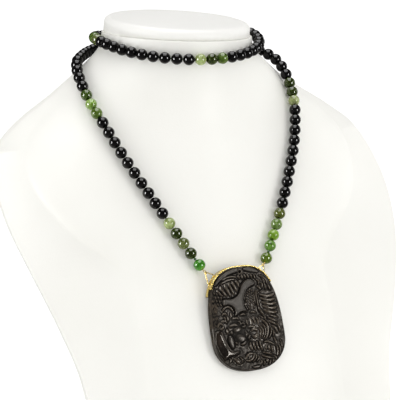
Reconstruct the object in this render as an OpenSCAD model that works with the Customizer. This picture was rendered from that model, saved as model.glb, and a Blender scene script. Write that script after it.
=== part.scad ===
// Jade bead necklace with a carved plaque, worn doubled on a display neck bust.
// Millimetres. +Z is up and -Y is the front. The origin is the middle of the bust's flat base.

/* [String] */
// Diameter of one bead
bead_d = 8; // [7.5:0.1:8]
// Diameter of the hole through a bead
bead_hole_d = 1.8; // [1.7:0.1:2]
// Least gap between two beads on the string
bead_gap = 0.1; // [0.1:0.05:0.3]
// Diameter of the stringing thread
thread_d = 0.7; // [0.5:0.1:0.7]
// Diameter of the knot beside each end bead
knot_d = 1.6; // [1.2:0.1:1.7]
// Spare room for the knot between the two end beads
knot_room = 1.4; // [1.2:0.1:2]
// How far the outer strand passes outside the inner one where they cross at the nape
nape_lift = 8.8; // [8.6:0.1:10]
// Beads in the green group at each end of the string
end_group = 5; // [3:1:7]
// Beads in each green group further along
green_group = 3; // [1:1:5]
// Black beads between two green groups
black_group = 10; // [6:1:12]

/* [Pendant] */
// Width of the plaque
plaque_w = 52.8; // [52:0.1:53.5]
// Height of the plaque above its widest line
plaque_up = 47.5; // [47:0.1:48]
// Height of the plaque below its widest line
plaque_down = 22.5; // [21:0.5:24]
// Thickness of the plaque from its back to the carved ground
plaque_t = 5.3; // [5:0.1:6]
// Lean of the plaque, top backwards, in degrees
plaque_lean = 19; // [18:0.5:20]
// Turn of the plaque in its own plane, in degrees
plaque_turn = 1.5; // [0:0.5:2]
// Height of the carving, as a share of the drawn height
carving = 1; // [0.5:0.1:1.2]
// Diameter of the small hole near the plaque's top
plaque_hole_d = 2; // [1:0.5:2.5]

/* [Gold] */
// Width of the gold strip over the plaque's edge
strip_w = 7; // [6:0.5:8]
// Thickness of the gold strip
strip_t = 0.6; // [0.5:0.1:1]
// How far the two rope edges and the end tabs stand out from the strip
rope_t = 0.25; // [0.15:0.05:0.5]
// Width of each rope edge
rope_w = 0.9; // [0.7:0.1:1.2]
// Width of the tab at each end of the strip
tab_w = 3.4; // [2:0.2:4]
// Gap between the strip and the plaque
strip_gap = 0.16; // [0.14:0.01:0.2]
// Height on the plaque at which the strip ends
strip_end = 22.5; // [20:0.5:25]
// Height on the plaque at which the end tabs end
tab_end = 18; // [15:0.5:20]
// Diameter of the wire of the triangular loops
loop_wire = 0.7; // [0.6:0.1:0.8]
// Diameter of the gold coil round the thread at each end of the string
guard_wire = 0.5; // [0.4:0.1:0.6]
// Mean diameter of the loop that this coil makes
guard_d = 3.2; // [3:0.1:3.4]

/* [Bust] */
// Radius of the padded disc on top of the neck
cap_r = 51; // [50:0.5:52]
// Thickness of that disc at its middle
cap_t = 9.5; // [8:0.5:11]
// Radius of the disc's rounded upper edge
cap_edge = 4.2; // [3:0.1:4.5]
// Lean of the disc towards the wearer's left, in degrees
cap_lean = 2.5; // [0:0.5:3]
// Forward lean of the disc's top, in degrees
cap_forward = 2.8; // [0:0.2:3]
// Gap between the neck and the disc
crease = 0.4; // [0.3:0.1:1]

/* [Hidden] */

// Neck axis, measured back from the origin
neck_y = 66;
// Top of the neck at its axis, and the height from which the neck leans with the disc
neck_z = 294.4;
lean_from = 276;
// Sides of one bust section, and steps between two of its rows
bust_sides = 52;
bust_steps = 2;
// Rounding of a section where it meets its own axes
section_round = 0.15;
// Sections of the bust, from the base up
bust_rows = [
    // height, half width, front, widest, back, front roundness, back roundness
    [0, 111, -67, -53, 61, 2.5, 1.6],
    [40, 117, -63, -49, 66, 2.4, 1.4],
    [80, 122, -52.6, -39, 72, 2.3, 1.4],
    [115, 135, -39.4, -26, 81, 2.15, 1.4],
    [150, 148, -21, -6, 93, 2, 1.5],
    [180, 154, -9, 19, 104, 1.8, 1.75],
    [205, 152, 0, 42, 113, 1.64, 2],
    [225, 142, 6, 58, 118, 1.52, 2.2],
    [240, 122, 9.5, 66, 119, 1.46, 2.2],
    [255, 97, 11.5, 70, 119, 1.48, 2],
    [270, 75, 12, 72, 119, 1.65, 1.85],
    [284, 57, 12.2, 68, 119, 1.9, 1.9],
    [neck_z, 53.4, 12.4, 66, 119.6, 2, 2]
];

// Radius of the choker pass round the neck, measured to the bead centres
choker_r = 57.4;
// Heights of the choker pass at the front, at the sides and at the nape
choker_front_z = 283.2;
choker_side_z = 292.4;
nape_z = 285;
// Half the angle over which the outer strand lifts off the inner one
nape_spread = 78;
// The strand from the plaque up over one shoulder to the nape, to the bead centres
strand_rows = [
    // across, back, height
    [25, -25, 150],
    [33.5, -18.5, 164],
    [45, -9.5, 184],
    [55.5, 1, 203.5],
    [65, 12.4, 222.5],
    [72.3, 25.8, 241],
    [76.1, 38, 252.8],
    [77.4, 50, 263.5],
    [76, 63, 272.3],
    [70.5, 77, 277.2],
    [61, 90, 279.3],
    [50.3, 102, 280],
    [37.6, 111.6, 280.6],
    [20.3, 119.8, 282]
];
// Steps of the smooth line between two of the route's points
route_steps = 10;

// Place of the plaque's back, and the height on it of its widest line
plaque_at = [0, -41.3, 113.9];
plaque_mid = -12.8;
// Roundness of the plaque's outline above and below its widest line
round_up = 2.8;
round_down = 2.25;
// Columns and rows of the carved face
face_cols = 42;
face_rows = 56;
// Radius of the plaque's rounded edges
edge_r = 1.3;
// Height of the smooth border above the carved ground
border_h = 0.5;
border_w = 1.6;
// Bevel round the back
back_bevel = 1;
// Depth of the dimple at the hole, which lies near the top
hole_depth = 1.8;
hole_at = [0.5, 31.5];

// How far the strip's rear edge stands behind the plaque's back
strip_behind = 1.8;
// A triangular loop: the angles on the strip of its two soldered corners, and its tip at the string
loop_inner_angle = 70.5;
loop_low_angle = 61.5;
loop_tip = [21.6, 34.3];
loop_behind = 1.2;
// Least gap between the end bead and the gold coil
guard_gap = 0.12;

// Smooth line through points

function dist_list(p) =
    [for (i = 0, s = 0; i < len(p); s = s + (i < len(p) - 1 ? norm(p[i + 1] - p[i]) : 0), i = i + 1) s];
function hermite(a, b, ta, tb, t) =
    (2 * t ^ 3 - 3 * t ^ 2 + 1) * a + (t ^ 3 - 2 * t ^ 2 + t) * ta
    + (3 * t ^ 2 - 2 * t ^ 3) * b + (t ^ 3 - t ^ 2) * tb;
function tangent(p, s, i) =
    let (a = max(i - 1, 0), b = min(i + 1, len(p) - 1)) (p[b] - p[a]) / (s[b] - s[a]);
function smooth_line(p, steps) =
    let (s = dist_list(p))
    [for (i = [0:len(p) - 2], k = [0:steps - 1])
        let (h = s[i + 1] - s[i])
        hermite(p[i], p[i + 1], h * tangent(p, s, i), h * tangent(p, s, i + 1), k / steps),
        p[len(p) - 1]];
function mirror_x(p) = [for (i = [len(p) - 1:-1:0]) [-p[i].x, p[i].y, p[i].z]];
// Point at a distance along a line that has been measured into x, y and z tables
function measured(p) = let (s = dist_list(p)) [for (k = [0:2]) [for (i = [0:len(p) - 1]) [s[i], p[i][k]]]];
function along(m, s) = [for (k = [0:2]) lookup(s, m[k])];
function unit(v) = v / norm(v);

// Route of the string

// Point on the high pass, from the nape at 180 degrees round a side to the front at 360
function high_pass(angle) = [
    choker_r * sin(angle),
    neck_y - choker_r * cos(angle),
    angle < 270
        ? nape_z + (choker_side_z - nape_z) * sin(angle - 180)
        : choker_side_z - (choker_side_z - choker_front_z) * cos(angle)
];
// Moves a point out from the neck's axis, most of all at the nape
function lifted(p, lift) =
    let (out = [p.x, p.y - neck_y, 0], off = min(1, acos(out.y / norm(out)) / nape_spread))
    p + lift * pow(cos(90 * off), 2) * out / norm(out);
// One half runs from the plaque over a shoulder, behind the neck and round to the front's middle.
// The point past the middle only keeps the line smooth there.
function half_route(lift) =
    [for (p = concat(strand_rows, [for (angle = [180:20:380]) high_pass(angle)])) lifted(p, lift)];
function half_line(lift) =
    let (line = smooth_line(half_route(lift), route_steps))
    [for (i = [0:len(line) - 1 - route_steps]) line[i]];
inner_half = half_line(0);
outer_half = half_line(nape_lift);

// Bead centres of one half, from the plaque to the middle of the front
function half_length(line) = let (s = dist_list(line)) s[len(s) - 1];
function half_count(line) = floor((half_length(line) - knot_room) / (bead_d + bead_gap));
function half_beads(line) =
    let (m = measured(line), n = half_count(line), pitch = (half_length(line) - knot_room) / n)
    [for (i = [0:n]) along(m, i == 0 ? 0 : i * pitch + knot_room)];
right_count = half_count(inner_half);
left_count = half_count(outer_half);
right_beads = half_beads(inner_half);
left_beads = mirror_x(half_beads(outer_half));
string_beads = concat(right_beads, [for (i = [1:left_count]) left_beads[i]]);
last_bead = right_count + left_count;
// Green groups are counted from each end, and one more group is centred at the front
function green_at(k, count) =
    k < end_group
    || count - k <= green_group / 2
    || (k - end_group) % (black_group + green_group) >= black_group
        && count - k > black_group + green_group / 2;
function is_green(i) = i <= right_count ? green_at(i, right_count) : green_at(last_bead - i, left_count);
// The string's own direction at a bead
function string_dir(i) =
    unit(string_beads[min(i + 1, last_bead)] - string_beads[max(i - 1, 0)]);

// Swept tubes, each ring turned with the path so that it doesn't twist

function ring_frames(p) = [
    for (i = 0, d = unit(p[1] - p[0]), n = unit(cross(d, [0.2, 0.3, 1])); i < len(p);
        i = i + 1,
        d = unit(p[min(i + 1, len(p) - 1)] - p[max(min(i, len(p) - 1) - 1, 0)]),
        n = unit(n - d * (n * d)))
    [d, n]
];
module swept_tube(path, radii, sides) {
    frames = ring_frames(path);
    points = [for (i = [0:len(path) - 1], k = [0:sides - 1])
        let (n = frames[i][1], b = cross(frames[i][0], n), a = 360 * k / sides)
        path[i] + radii[i] * (cos(a) * n + sin(a) * b)];
    last = len(path) - 1;
    faces = concat(
        [for (i = [0:last - 1], k = [0:sides - 1])
            let (k2 = (k + 1) % sides)
            [i * sides + k, i * sides + k2, (i + 1) * sides + k2, (i + 1) * sides + k]],
        [[for (k = [sides - 1:-1:0]) k]],
        [[for (k = [0:sides - 1]) last * sides + k]]
    );
    polyhedron(points, [for (f = faces) [for (i = [len(f) - 1:-1:0]) f[i]]], convexity = 10);
}

// Bust

function row_slope(i, k) =
    let (a = max(i - 1, 0), b = min(i + 1, len(bust_rows) - 1))
    (bust_rows[b][k] - bust_rows[a][k]) / (bust_rows[b][0] - bust_rows[a][0]);
function row_between(i, t) =
    let (h = bust_rows[i + 1][0] - bust_rows[i][0])
    [for (k = [0:6])
        hermite(bust_rows[i][k], bust_rows[i + 1][k], h * row_slope(i, k), h * row_slope(i + 1, k), t)];
function section_point(row, angle) =
    let (
        front = sin(angle) < 0,
        deep = front ? row[3] - row[2] : row[4] - row[3],
        n = front ? row[5] : row[6],
        across = pow(cos(angle) ^ 2 + section_round ^ 2, n / 2) / pow(row[1], n),
        inward = pow(sin(angle) ^ 2 + section_round ^ 2, n / 2) / pow(deep, n),
        r = pow(across + inward, -1 / n)
    )
    [r * cos(angle), row[3] + r * sin(angle), row[0] - neck_drop(r * cos(angle), row[0])];
// The neck's upper rows lean sideways with the disc
function neck_drop(x, z) = x * tan(cap_lean) * max(0, z - lean_from) / (neck_z - lean_from);
module neck_bust() {
    rows = concat(
        [for (i = [0:len(bust_rows) - 2], k = [0:bust_steps - 1]) row_between(i, k / bust_steps)],
        [bust_rows[len(bust_rows) - 1]]
    );
    n = bust_sides;
    points = [for (row = rows, k = [0:n - 1]) section_point(row, 360 * k / n)];
    last = len(rows) - 1;
    faces = concat(
        [for (i = [0:last - 1], k = [0:n - 1])
            let (k2 = (k + 1) % n)
            [i * n + k, (i + 1) * n + k, (i + 1) * n + k2, i * n + k2]],
        [[for (k = [0:n - 1]) k]],
        [[for (k = [n - 1:-1:0]) last * n + k]]
    );
    color("whitesmoke") polyhedron(points, faces, convexity = 6);
}

// The disc's top leans further forward than its underside, which follows the crease
module neck_cap() {
    color("white")
        translate([0, neck_y, neck_z + crease])
        rotate([0, cap_lean, 0])
        difference() {
            translate([0, 0, cap_t]) rotate([cap_forward, 0, 0]) rotate_extrude($fn = 64) {
                translate([0, -2 * cap_t]) square([cap_r - cap_edge, 2 * cap_t]);
                translate([0, -2 * cap_t]) square([cap_r, 2 * cap_t - cap_edge]);
                translate([cap_r - cap_edge, -cap_edge]) intersection() {
                    circle(r = cap_edge, $fn = 32);
                    square(cap_edge);
                }
            }
            translate([0, 0, -1.5 * cap_t]) cube([3 * cap_r, 3 * cap_r, 3 * cap_t], center = true);
        }
}

// Beads and thread

module bead(i) {
    d = string_dir(i);
    translate(string_beads[i])
        rotate([0, acos(d.z), atan2(d.y, d.x)])
        difference() {
            sphere(d = bead_d, $fn = 24);
            cylinder(d = bead_hole_d, h = bead_d + 1, center = true, $fn = 16);
        }
}
module black_beads() {
    color([0.03, 0.03, 0.03]) for (i = [0:last_bead]) if (!is_green(i)) bead(i);
}
module green_beads() {
    color([0.2, 0.42, 0.14]) for (i = [0:last_bead]) if (is_green(i)) bead(i);
}

// The thread passes each bead's middle and each gap, and thickens into two knots
module thread() {
    r = thread_d / 2;
    first = string_beads[0] + string_dir(0) * (0.2 - bead_d / 2);
    final = string_beads[last_bead] + string_dir(last_bead) * (bead_d / 2 - 0.2);
    function between(i) = (string_beads[i] + string_beads[i + 1]) / 2;
    function knot(i) = [for (k = [-1:1]) between(i) + string_dir(i) * k * (knot_room - 0.3) / 2];
    path = concat(
        [first, string_beads[0]], knot(0),
        [for (i = [1:last_bead - 1], k = [0:1]) if (k == 0) string_beads[i]
            else if (i < last_bead - 1) between(i)],
        knot(last_bead - 1), [string_beads[last_bead], final]
    );
    last = len(path) - 1;
    radii = [for (i = [0:last]) i == 3 || i == last - 3 ? knot_d / 2 : r];
    color([0.25, 0.4, 0.15]) swept_tube(path, radii, 6);
}

// Plaque

// The plaque's own frame: across, up its face, and out from its back
module on_plaque() {
    translate(plaque_at) rotate([90 - plaque_lean, 0, 0]) rotate([0, 0, plaque_turn]) children();
}
function from_plaque(p) =
    let (
        x = p.x * cos(plaque_turn) - p.y * sin(plaque_turn),
        y = p.x * sin(plaque_turn) + p.y * cos(plaque_turn)
    )
    plaque_at
    + [x, y * sin(plaque_lean) - p.z * cos(plaque_lean), y * cos(plaque_lean) + p.z * sin(plaque_lean)];
// The outline is a squared oval about its widest line, which lies below the middle
function outline_n(y) = y > plaque_mid ? round_up : round_down;
function outline_h(y) = y > plaque_mid ? plaque_up : plaque_down;
function outline_share(x, y) =
    let (n = outline_n(y))
    pow(pow(abs(x) / (plaque_w / 2), n) + pow(abs(y - plaque_mid) / outline_h(y), n), 1 / n);
function half_width_at(y) =
    let (n = outline_n(y))
    plaque_w / 2 * pow(max(0, 1 - pow(abs(y - plaque_mid) / outline_h(y), n)), 1 / n);
function edge_distance(x, y) = (1 - outline_share(x, y)) * norm([x, y - plaque_mid]);

// Ridges that repeat: start, middle and end points across and up, then width and height
wing = [for (i = [0:4])
    [12, 13 - 3.1 * i, 16.5, 10.6 - 3 * i, 22, 10.5 - 2.7 * i, 1.5, 1.3]];
side_wing = [for (i = [0:1])
    [14, -3 * i, 18.5, -2.5 - 3 * i, 23, -6.5 - 4.5 * i, 1.4, 1.1]];
plumes = [for (i = [0:5]) [
    -6.5 - 2.9 * i, 25 - 0.6 * i, -6 - 3 * i, 21.5 - 0.6 * i,
    -4 - 3.3 * i, 18.5 - 0.9 * i, 1.3, 1.2 - 0.08 * i]];
scales = [for (i = [0:2])
    [4.5 + 3.5 * i, 30 - 0.7 * i, 4.5 + 3.2 * i, 28 - 0.7 * i, 4.2 + 3.4 * i, 26.2 - 0.5 * i, 1.5, 0.9]];
mane = [for (i = [0:2]) [
    9 - 2.8 * i, -3.5 + 0.2 * i, 12.8 - 2.9 * i, -8.5 + 0.7 * i,
    11.3 - 2.5 * i, -14.5 + 1.2 * i, 1.7 - 0.2 * i, 1.5 - 0.25 * i]];
ruff = [for (i = [0:3]) [
    -0.5 + 2.7 * i, -16.2 - 0.3 * i, -1.4 + 2.7 * i, -18.6 - 0.3 * i,
    -0.4 + 2.7 * i, -21.3 - 0.3 * i, 1.3, 1.1]];
fringe = [for (i = [0:3])
    [5.5 + 3 * i, -28.5 - 0.3 * i, 5.3 + 3 * i, -30.5, 5.6 + 2.8 * i, -32.6 + 0.5 * i, 1.3, 1]];
// The other ridges, each a bend through three points
ridges = [
    // start x, y, middle x, y, end x, y, width, height
    [-20.5, 25, -13.5, 30.5, -1, 32.5, 3.6, 1.3],
    [5, 23.5, 0, 19, -3.5, 12, 4.8, 1.8],
    [-4, 11, -8, 11.5, -13, 13, 4.2, 1.8],
    [-3.5, 12, -4.5, 8, -6, 3.5, 6.2, 1.8],
    [-4.5, 8.5, -2.5, 5, -0.5, 3.5, 3, 1.7],
    [-16, 26, -9, 28.5, -2.5, 26.5, 1.4, 1],
    [-1.5, 25, -0.5, 21.5, -4.5, 16.5, 1.4, 0.9],
    [13.5, 27.5, 17, 24, 19, 20, 1.5, 1.1],
    [16, 21.5, 16, 18, 18, 16, 1.4, 0.9],
    [10, 17, 8, 11, 10, 5.5, 1.6, 1.5],
    [10, 5.5, 11.5, 2.5, 12, -1.5, 1.5, 1.4],
    [5, 19.5, 1, 16, 0, 11.5, 1.4, 0.9],
    [7, 17.5, 4, 13.5, 3.5, 9, 1.4, 0.8],
    [0, 10.5, 0.5, 6, 3.5, 3, 1.4, 0.8],
    [-18, 6, -13.5, 9, -9.5, 5, 1.5, 1.3],
    [-9.5, 5, -10.5, 2.5, -12.5, 2, 1.4, 1.1],
    [-17.5, 4, -14.5, 2, -16, -1, 1.5, 1.2],
    [-16, -1, -18.5, -2, -21, -1, 1.4, 1.1],
    [-22, -3.5, -20.5, -1.5, -18.5, -3.5, 1.4, 1.1],
    [-23, -6.5, -23.5, -9.5, -24.5, -11.5, 1.5, 1.1],
    [-22, -7, -22, -14, -19, -23, 5.4, 1.2],
    [-20, -9, -19, -16.5, -16, -25, 4.4, 1.1],
    [-20, -7, -18.5, -14, -16, -20, 1.7, 1.9],
    [-16, -20, -13.5, -21.5, -10.5, -21, 1.5, 1.8],
    [-14.5, -11, -15, -14.5, -14.5, -17.5, 3, 1.2],
    [-11.5, -7.5, -8.5, -7, -5, -6.5, 2.2, 1.5],
    [-14, -8.5, -13, -11, -11.5, -14, 1.6, 1.1],
    [-9.5, -12.5, -7, -11.5, -4.5, -12.5, 2.2, 1.2],
    [-8, -17, -6, -16.5, -4, -15, 1.9, 1.6],
    [-11.5, -15, -11, -17.5, -8.5, -20, 1.6, 1.1],
    [-9, -1, -6.5, -1.5, -6.5, -4, 1.6, 1.2],
    [-1, 0.5, 1.5, -1.5, 0.5, -5, 1.5, 1],
    [1.5, -9.5, 4, -8.5, 5, -11, 1.6, 1.4],
    [1, -12.5, 3, -13, 5, -11.5, 2.2, 1.6],
    [17.5, -8, 19.5, -10.5, 20, -13.5, 1.5, 1.2],
    [18.5, -14.5, 19, -17, 20, -19.5, 1.4, 0.9],
    [9, -17, 13.5, -17.5, 16.5, -20.5, 1.5, 1.1],
    [12.5, -20.5, 12.5, -22.5, 14, -24.5, 1.7, 1.4],
    [-7, -26.5, -5, -23.5, -1, -24, 1.4, 1.4],
    [-1, -24, -1, -26.5, -4, -28, 1.5, 1.5],
    [2, -23.5, 1.5, -26.5, -1.5, -29, 1.4, 1.1],
    [-14, -25.5, -12.5, -27.5, -10.5, -30, 1.5, 1.3],
    [6, -25.5, 9.5, -26.8, 13, -27.5, 1.5, 1.3]
];
carving_rows = concat(ridges, wing, side_wing, plumes, scales, mane, ruff, fringe);
// Each ridge as four straight steps, with the circle that holds it
ridge_steps = 4;
function bend(r, t) =
    let (a = [r[0], r[1]], m = [r[2], r[3]], b = [r[4], r[5]])
    (1 - t) ^ 2 * a + 2 * t * (1 - t) * (2 * m - (a + b) / 2) + t ^ 2 * b;
carved = [for (r = carving_rows)
    let (p = [for (k = [0:ridge_steps]) bend(r, k / ridge_steps)], mid = bend(r, 0.5), w = r[6] / 2 + 0.3)
    [p, w, r[7], mid, max([for (q = p) norm(q - mid)]) + w]];
function step_distance(q, a, b) =
    let (ab = b - a, t = max(0, min(1, (q - a) * ab / (ab * ab)))) norm(q - a - t * ab);
function ridge_height(q, c) =
    norm(q - c[3]) > c[4] ? 0
    : let (
        d = min([for (k = [0:ridge_steps - 1]) step_distance(q, c[0][k], c[0][k + 1])]) / c[1]
    ) d >= 1 ? 0 : c[2] * (1 - pow(d, c[1] > 1.3 ? 4 : 2));
function face_z(x, y) =
    let (
        q = [x, y],
        e = edge_distance(x, y),
        rim = e < border_w ? border_h : 0,
        raised = max(rim, max([for (c = carved) ridge_height(q, c)])) * carving,
        dip = norm(q - hole_at) < plaque_hole_d / 2 ? hole_depth : 0,
        near = max(0, min(1, 1 - e / edge_r))
    )
    plaque_t + raised - dip - edge_r * (1 - sqrt(1 - near ^ 2));
// Rows of the face lie closer together near the top and the bottom
function row_y(j) =
    let (s = -1 + 2 * j / face_rows, t = 0.55 * s + 0.45 * sin(90 * s))
    plaque_mid + 0.996 * (t > 0 ? plaque_up * t : plaque_down * t);

module pendant() {
    cols = face_cols + 1;
    face = [for (j = [0:face_rows], i = [0:face_cols])
        let (y = row_y(j), x = half_width_at(y) * sin(90 * (-1 + 2 * i / face_cols)))
        [x, y, face_z(x, y)]];
    // Grid places round the face, counter-clockwise
    border = concat(
        [for (i = [0:face_cols - 1]) i],
        [for (j = [0:face_rows - 1]) j * cols + face_cols],
        [for (i = [face_cols:-1:1]) face_rows * cols + i],
        [for (j = [face_rows:-1:1]) j * cols]
    );
    n = len(border);
    top = len(face);
    // Two rings below the face: the side wall's foot and the bevelled back
    function ring(shrink, z) = [for (b = border)
        let (p = face[b]) [p.x * shrink, (p.y - plaque_mid) * shrink + plaque_mid, z]];
    points = concat(face, ring(1, back_bevel), ring(1 - 2 * back_bevel / plaque_w, 0), [[0, plaque_mid, 0]]);
    centre = len(points) - 1;
    faces = concat(
        [for (j = [0:face_rows - 1], i = [0:face_cols - 1])
            let (a = j * cols + i) each [[a, a + cols, a + cols + 1], [a, a + cols + 1, a + 1]]],
        [for (k = [0:n - 1]) let (m = (k + 1) % n) each [
            [border[k], border[m], top + m], [border[k], top + m, top + k],
            [top + k, top + m, top + n + m], [top + k, top + n + m, top + n + k],
            [top + n + k, top + n + m, centre]]]
    );
    color([0.1, 0.08, 0.07]) on_plaque() polyhedron(points, faces, convexity = 12);
}

// Gold

// Place at an angle round the plaque, at a distance out from its edge
function strip_point(angle, out) =
    let (
        c = cos(angle), s = sin(angle),
        n = s > 0 ? round_up : round_down, h = s > 0 ? plaque_up : plaque_down,
        r = pow(pow(abs(c) / (plaque_w / 2 + out), n) + pow(abs(s) / (h + out), n), -1 / n)
    )
    [r * c, r * s + plaque_mid];
// A bar bent over the plaque's top, between two distances from the edge, two from the back and two heights
module bent_bar(near, far, z0, z1, low, high) {
    inner = [for (a = [177:-3:3]) strip_point(a, near)];
    outer = [for (a = [3:3:177]) strip_point(a, far)];
    intersection() {
        translate([0, 0, z0]) linear_extrude(z1 - z0) polygon(concat(outer, inner));
        translate([-plaque_w, low, -strip_w]) cube([2 * plaque_w, high - low, 3 * strip_w]);
    }
}
module wire(a, b) {
    d = b - a;
    translate(a) {
        rotate([0, acos(d.z / norm(d)), atan2(d.y, d.x)]) cylinder(d = loop_wire, h = norm(d), $fn = 20);
        sphere(d = loop_wire * 1.15, $fn = 20);
    }
}
// A side's triangular loop: its low and inner corners on the strip, and its tip inside the gold coil
function loop_corners(side) =
    let (
        bead_at = string_beads[side > 0 ? 0 : last_bead],
        out = strip_gap + strip_t + rope_t + 0.2 * loop_wire,
        low = strip_point(loop_low_angle, out),
        inner = strip_point(loop_inner_angle, out),
        towards = from_plaque([side * loop_tip.x, loop_tip.y, -loop_behind]) - bead_at
    )
    [
        from_plaque([side * low.x, low.y, -loop_behind]),
        from_plaque([side * inner.x, inner.y, -loop_behind]),
        bead_at + unit(towards) * (bead_d / 2 + guard_gap + (guard_d + guard_wire) / 2)
    ];
module gold_cap() {
    rear = -strip_behind;
    front = rear + strip_w;
    thin = strip_gap + strip_t;
    thick = thin + rope_t;
    sunk = strip_gap + strip_t / 3;
    proud = 0.1;
    top = 2 * plaque_up;
    color("gold") {
        on_plaque() {
            bent_bar(strip_gap, thin, rear, front, strip_end, top);
            bent_bar(sunk, thick, front - rope_w, front + proud, strip_end + proud, top);
            bent_bar(sunk, thick, rear - proud, rear + rope_w, strip_end + proud, top);
            bent_bar(sunk, thick + proud, rear - 2 * proud, rear + tab_w, tab_end, strip_end + rope_w);
        }
        for (side = [-1, 1]) {
            p = loop_corners(side);
            for (k = [0:2]) wire(p[k], p[(k + 1) % 3]);
        }
    }
}

// A gold coil round the thread's end hangs each side of the string on a triangular loop
module wire_guard(side) {
    p = loop_corners(side);
    // The coil's ring stands square to the triangular loop and halves the angle at its tip
    to_low = unit(p[0] - p[2]);
    to_inner = unit(p[1] - p[2]);
    axis = unit(cross(cross(to_low, to_inner), to_low + to_inner));
    color("goldenrod")
        translate(p[2])
        rotate([0, acos(axis.z), atan2(axis.y, axis.x)])
        rotate_extrude($fn = 24) translate([guard_d / 2, 0]) circle(d = guard_wire, $fn = 16);
}
module wire_guard_left() {
    wire_guard(-1);
}
module wire_guard_right() {
    wire_guard(1);
}

neck_bust();
neck_cap();
black_beads();
green_beads();
thread();
pendant();
gold_cap();
wire_guard_left();
wire_guard_right();
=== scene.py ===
# %% [markdown]
# # A jade bead necklace on a white neck bust
#
# The necklace is one long string of 8 mm beads, most of them black jade, with groups of green jade.
# Its two ends hold a carved black-brown plaque by a small gold mount. The string is worn doubled on a
# white display bust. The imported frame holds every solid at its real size. This lesson gives each one
# its looks: finer shapes where the frame is plain, and stone, gold, thread and leatherette finishes.
#
# The first cell loads the frame. Its nodes stay where they are, and every new piece is built around them.

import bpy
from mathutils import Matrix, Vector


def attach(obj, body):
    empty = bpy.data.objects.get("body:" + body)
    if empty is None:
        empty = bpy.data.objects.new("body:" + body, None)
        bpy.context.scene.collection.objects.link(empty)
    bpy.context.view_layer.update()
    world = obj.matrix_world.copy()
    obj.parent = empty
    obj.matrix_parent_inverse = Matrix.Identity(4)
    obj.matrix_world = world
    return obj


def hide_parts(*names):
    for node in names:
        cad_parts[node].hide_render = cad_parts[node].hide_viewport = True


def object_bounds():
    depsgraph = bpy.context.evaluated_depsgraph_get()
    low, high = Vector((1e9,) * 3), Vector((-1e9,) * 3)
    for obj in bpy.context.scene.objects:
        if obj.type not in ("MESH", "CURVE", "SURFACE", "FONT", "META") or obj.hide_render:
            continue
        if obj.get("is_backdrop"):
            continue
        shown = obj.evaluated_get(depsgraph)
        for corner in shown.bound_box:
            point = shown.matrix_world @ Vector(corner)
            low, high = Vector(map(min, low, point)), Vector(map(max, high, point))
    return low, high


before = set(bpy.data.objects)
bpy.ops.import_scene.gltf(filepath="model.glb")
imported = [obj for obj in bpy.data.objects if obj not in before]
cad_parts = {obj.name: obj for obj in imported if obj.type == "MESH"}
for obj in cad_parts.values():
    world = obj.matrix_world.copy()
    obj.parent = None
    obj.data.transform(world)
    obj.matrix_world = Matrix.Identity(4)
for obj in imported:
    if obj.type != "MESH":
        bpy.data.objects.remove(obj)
cad_box = [list(corner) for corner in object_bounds()]
print("nodes:", ", ".join(sorted(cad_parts)))

# %% [markdown]
# Blender works in metres and a jeweller in millimetres. Sizes are therefore written in millimetres and
# multiplied once by `MM`, when a mesh is made. NumPy does the geometry, because a carved face or a twisted
# rope is a formula over thousands of points, and a formula over an array is both short and quick.

# %% Units and helpers for vectors
import math

import bmesh
import bpy
import numpy as np
from mathutils import Matrix, Vector

MM = 0.001
rng = np.random.default_rng(8)


def unit(v):
    """Vectors of length one, for one vector or for rows of them."""
    return v / np.linalg.norm(v, axis=-1, keepdims=True)


print("one millimetre is", MM, "Blender units")

# %% [markdown]
# ## Camera
#
# A catalogue photograph of jewellery is taken from far away with a long lens, so that nothing looks
# swollen. The camera stands a metre and a half away, to the wearer's right, and looks gently down. Its
# place is worked out from an azimuth, an elevation and a distance, which are easier to judge than three
# coordinates.

# %% Camera
camera_azimuth, camera_elevation = math.radians(-25), math.radians(11)
camera_distance = 1500
camera_target = np.array([-24.6, -25, 194.2])
sensor_width, lens = 36, 203
sight_in_metres = 20


def direction(azimuth, elevation):
    """Where something stands round the object: azimuth 0 is the front and 90 the wearer's left."""
    return np.array([
        math.sin(azimuth) * math.cos(elevation),
        -math.cos(azimuth) * math.cos(elevation),
        math.sin(elevation),
    ])


def aim(obj, target, azimuth, elevation, distance):
    """Stands an object at a distance from a target, looking at it."""
    towards = direction(azimuth, elevation)
    obj.location = (target + distance * towards) * MM
    obj.rotation_euler = (-Vector(towards)).to_track_quat("-Z", "Y").to_euler()
    bpy.context.scene.collection.objects.link(obj)


camera = bpy.data.objects.new("camera", bpy.data.cameras.new("camera"))
camera.data.sensor_width, camera.data.lens = sensor_width, lens
camera.data.clip_end = sight_in_metres
aim(camera, camera_target, camera_azimuth, camera_elevation, camera_distance)
bpy.context.scene.camera = camera
print("camera at", [round(c, 3) for c in camera.location], "with a lens of", lens, "mm")
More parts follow.
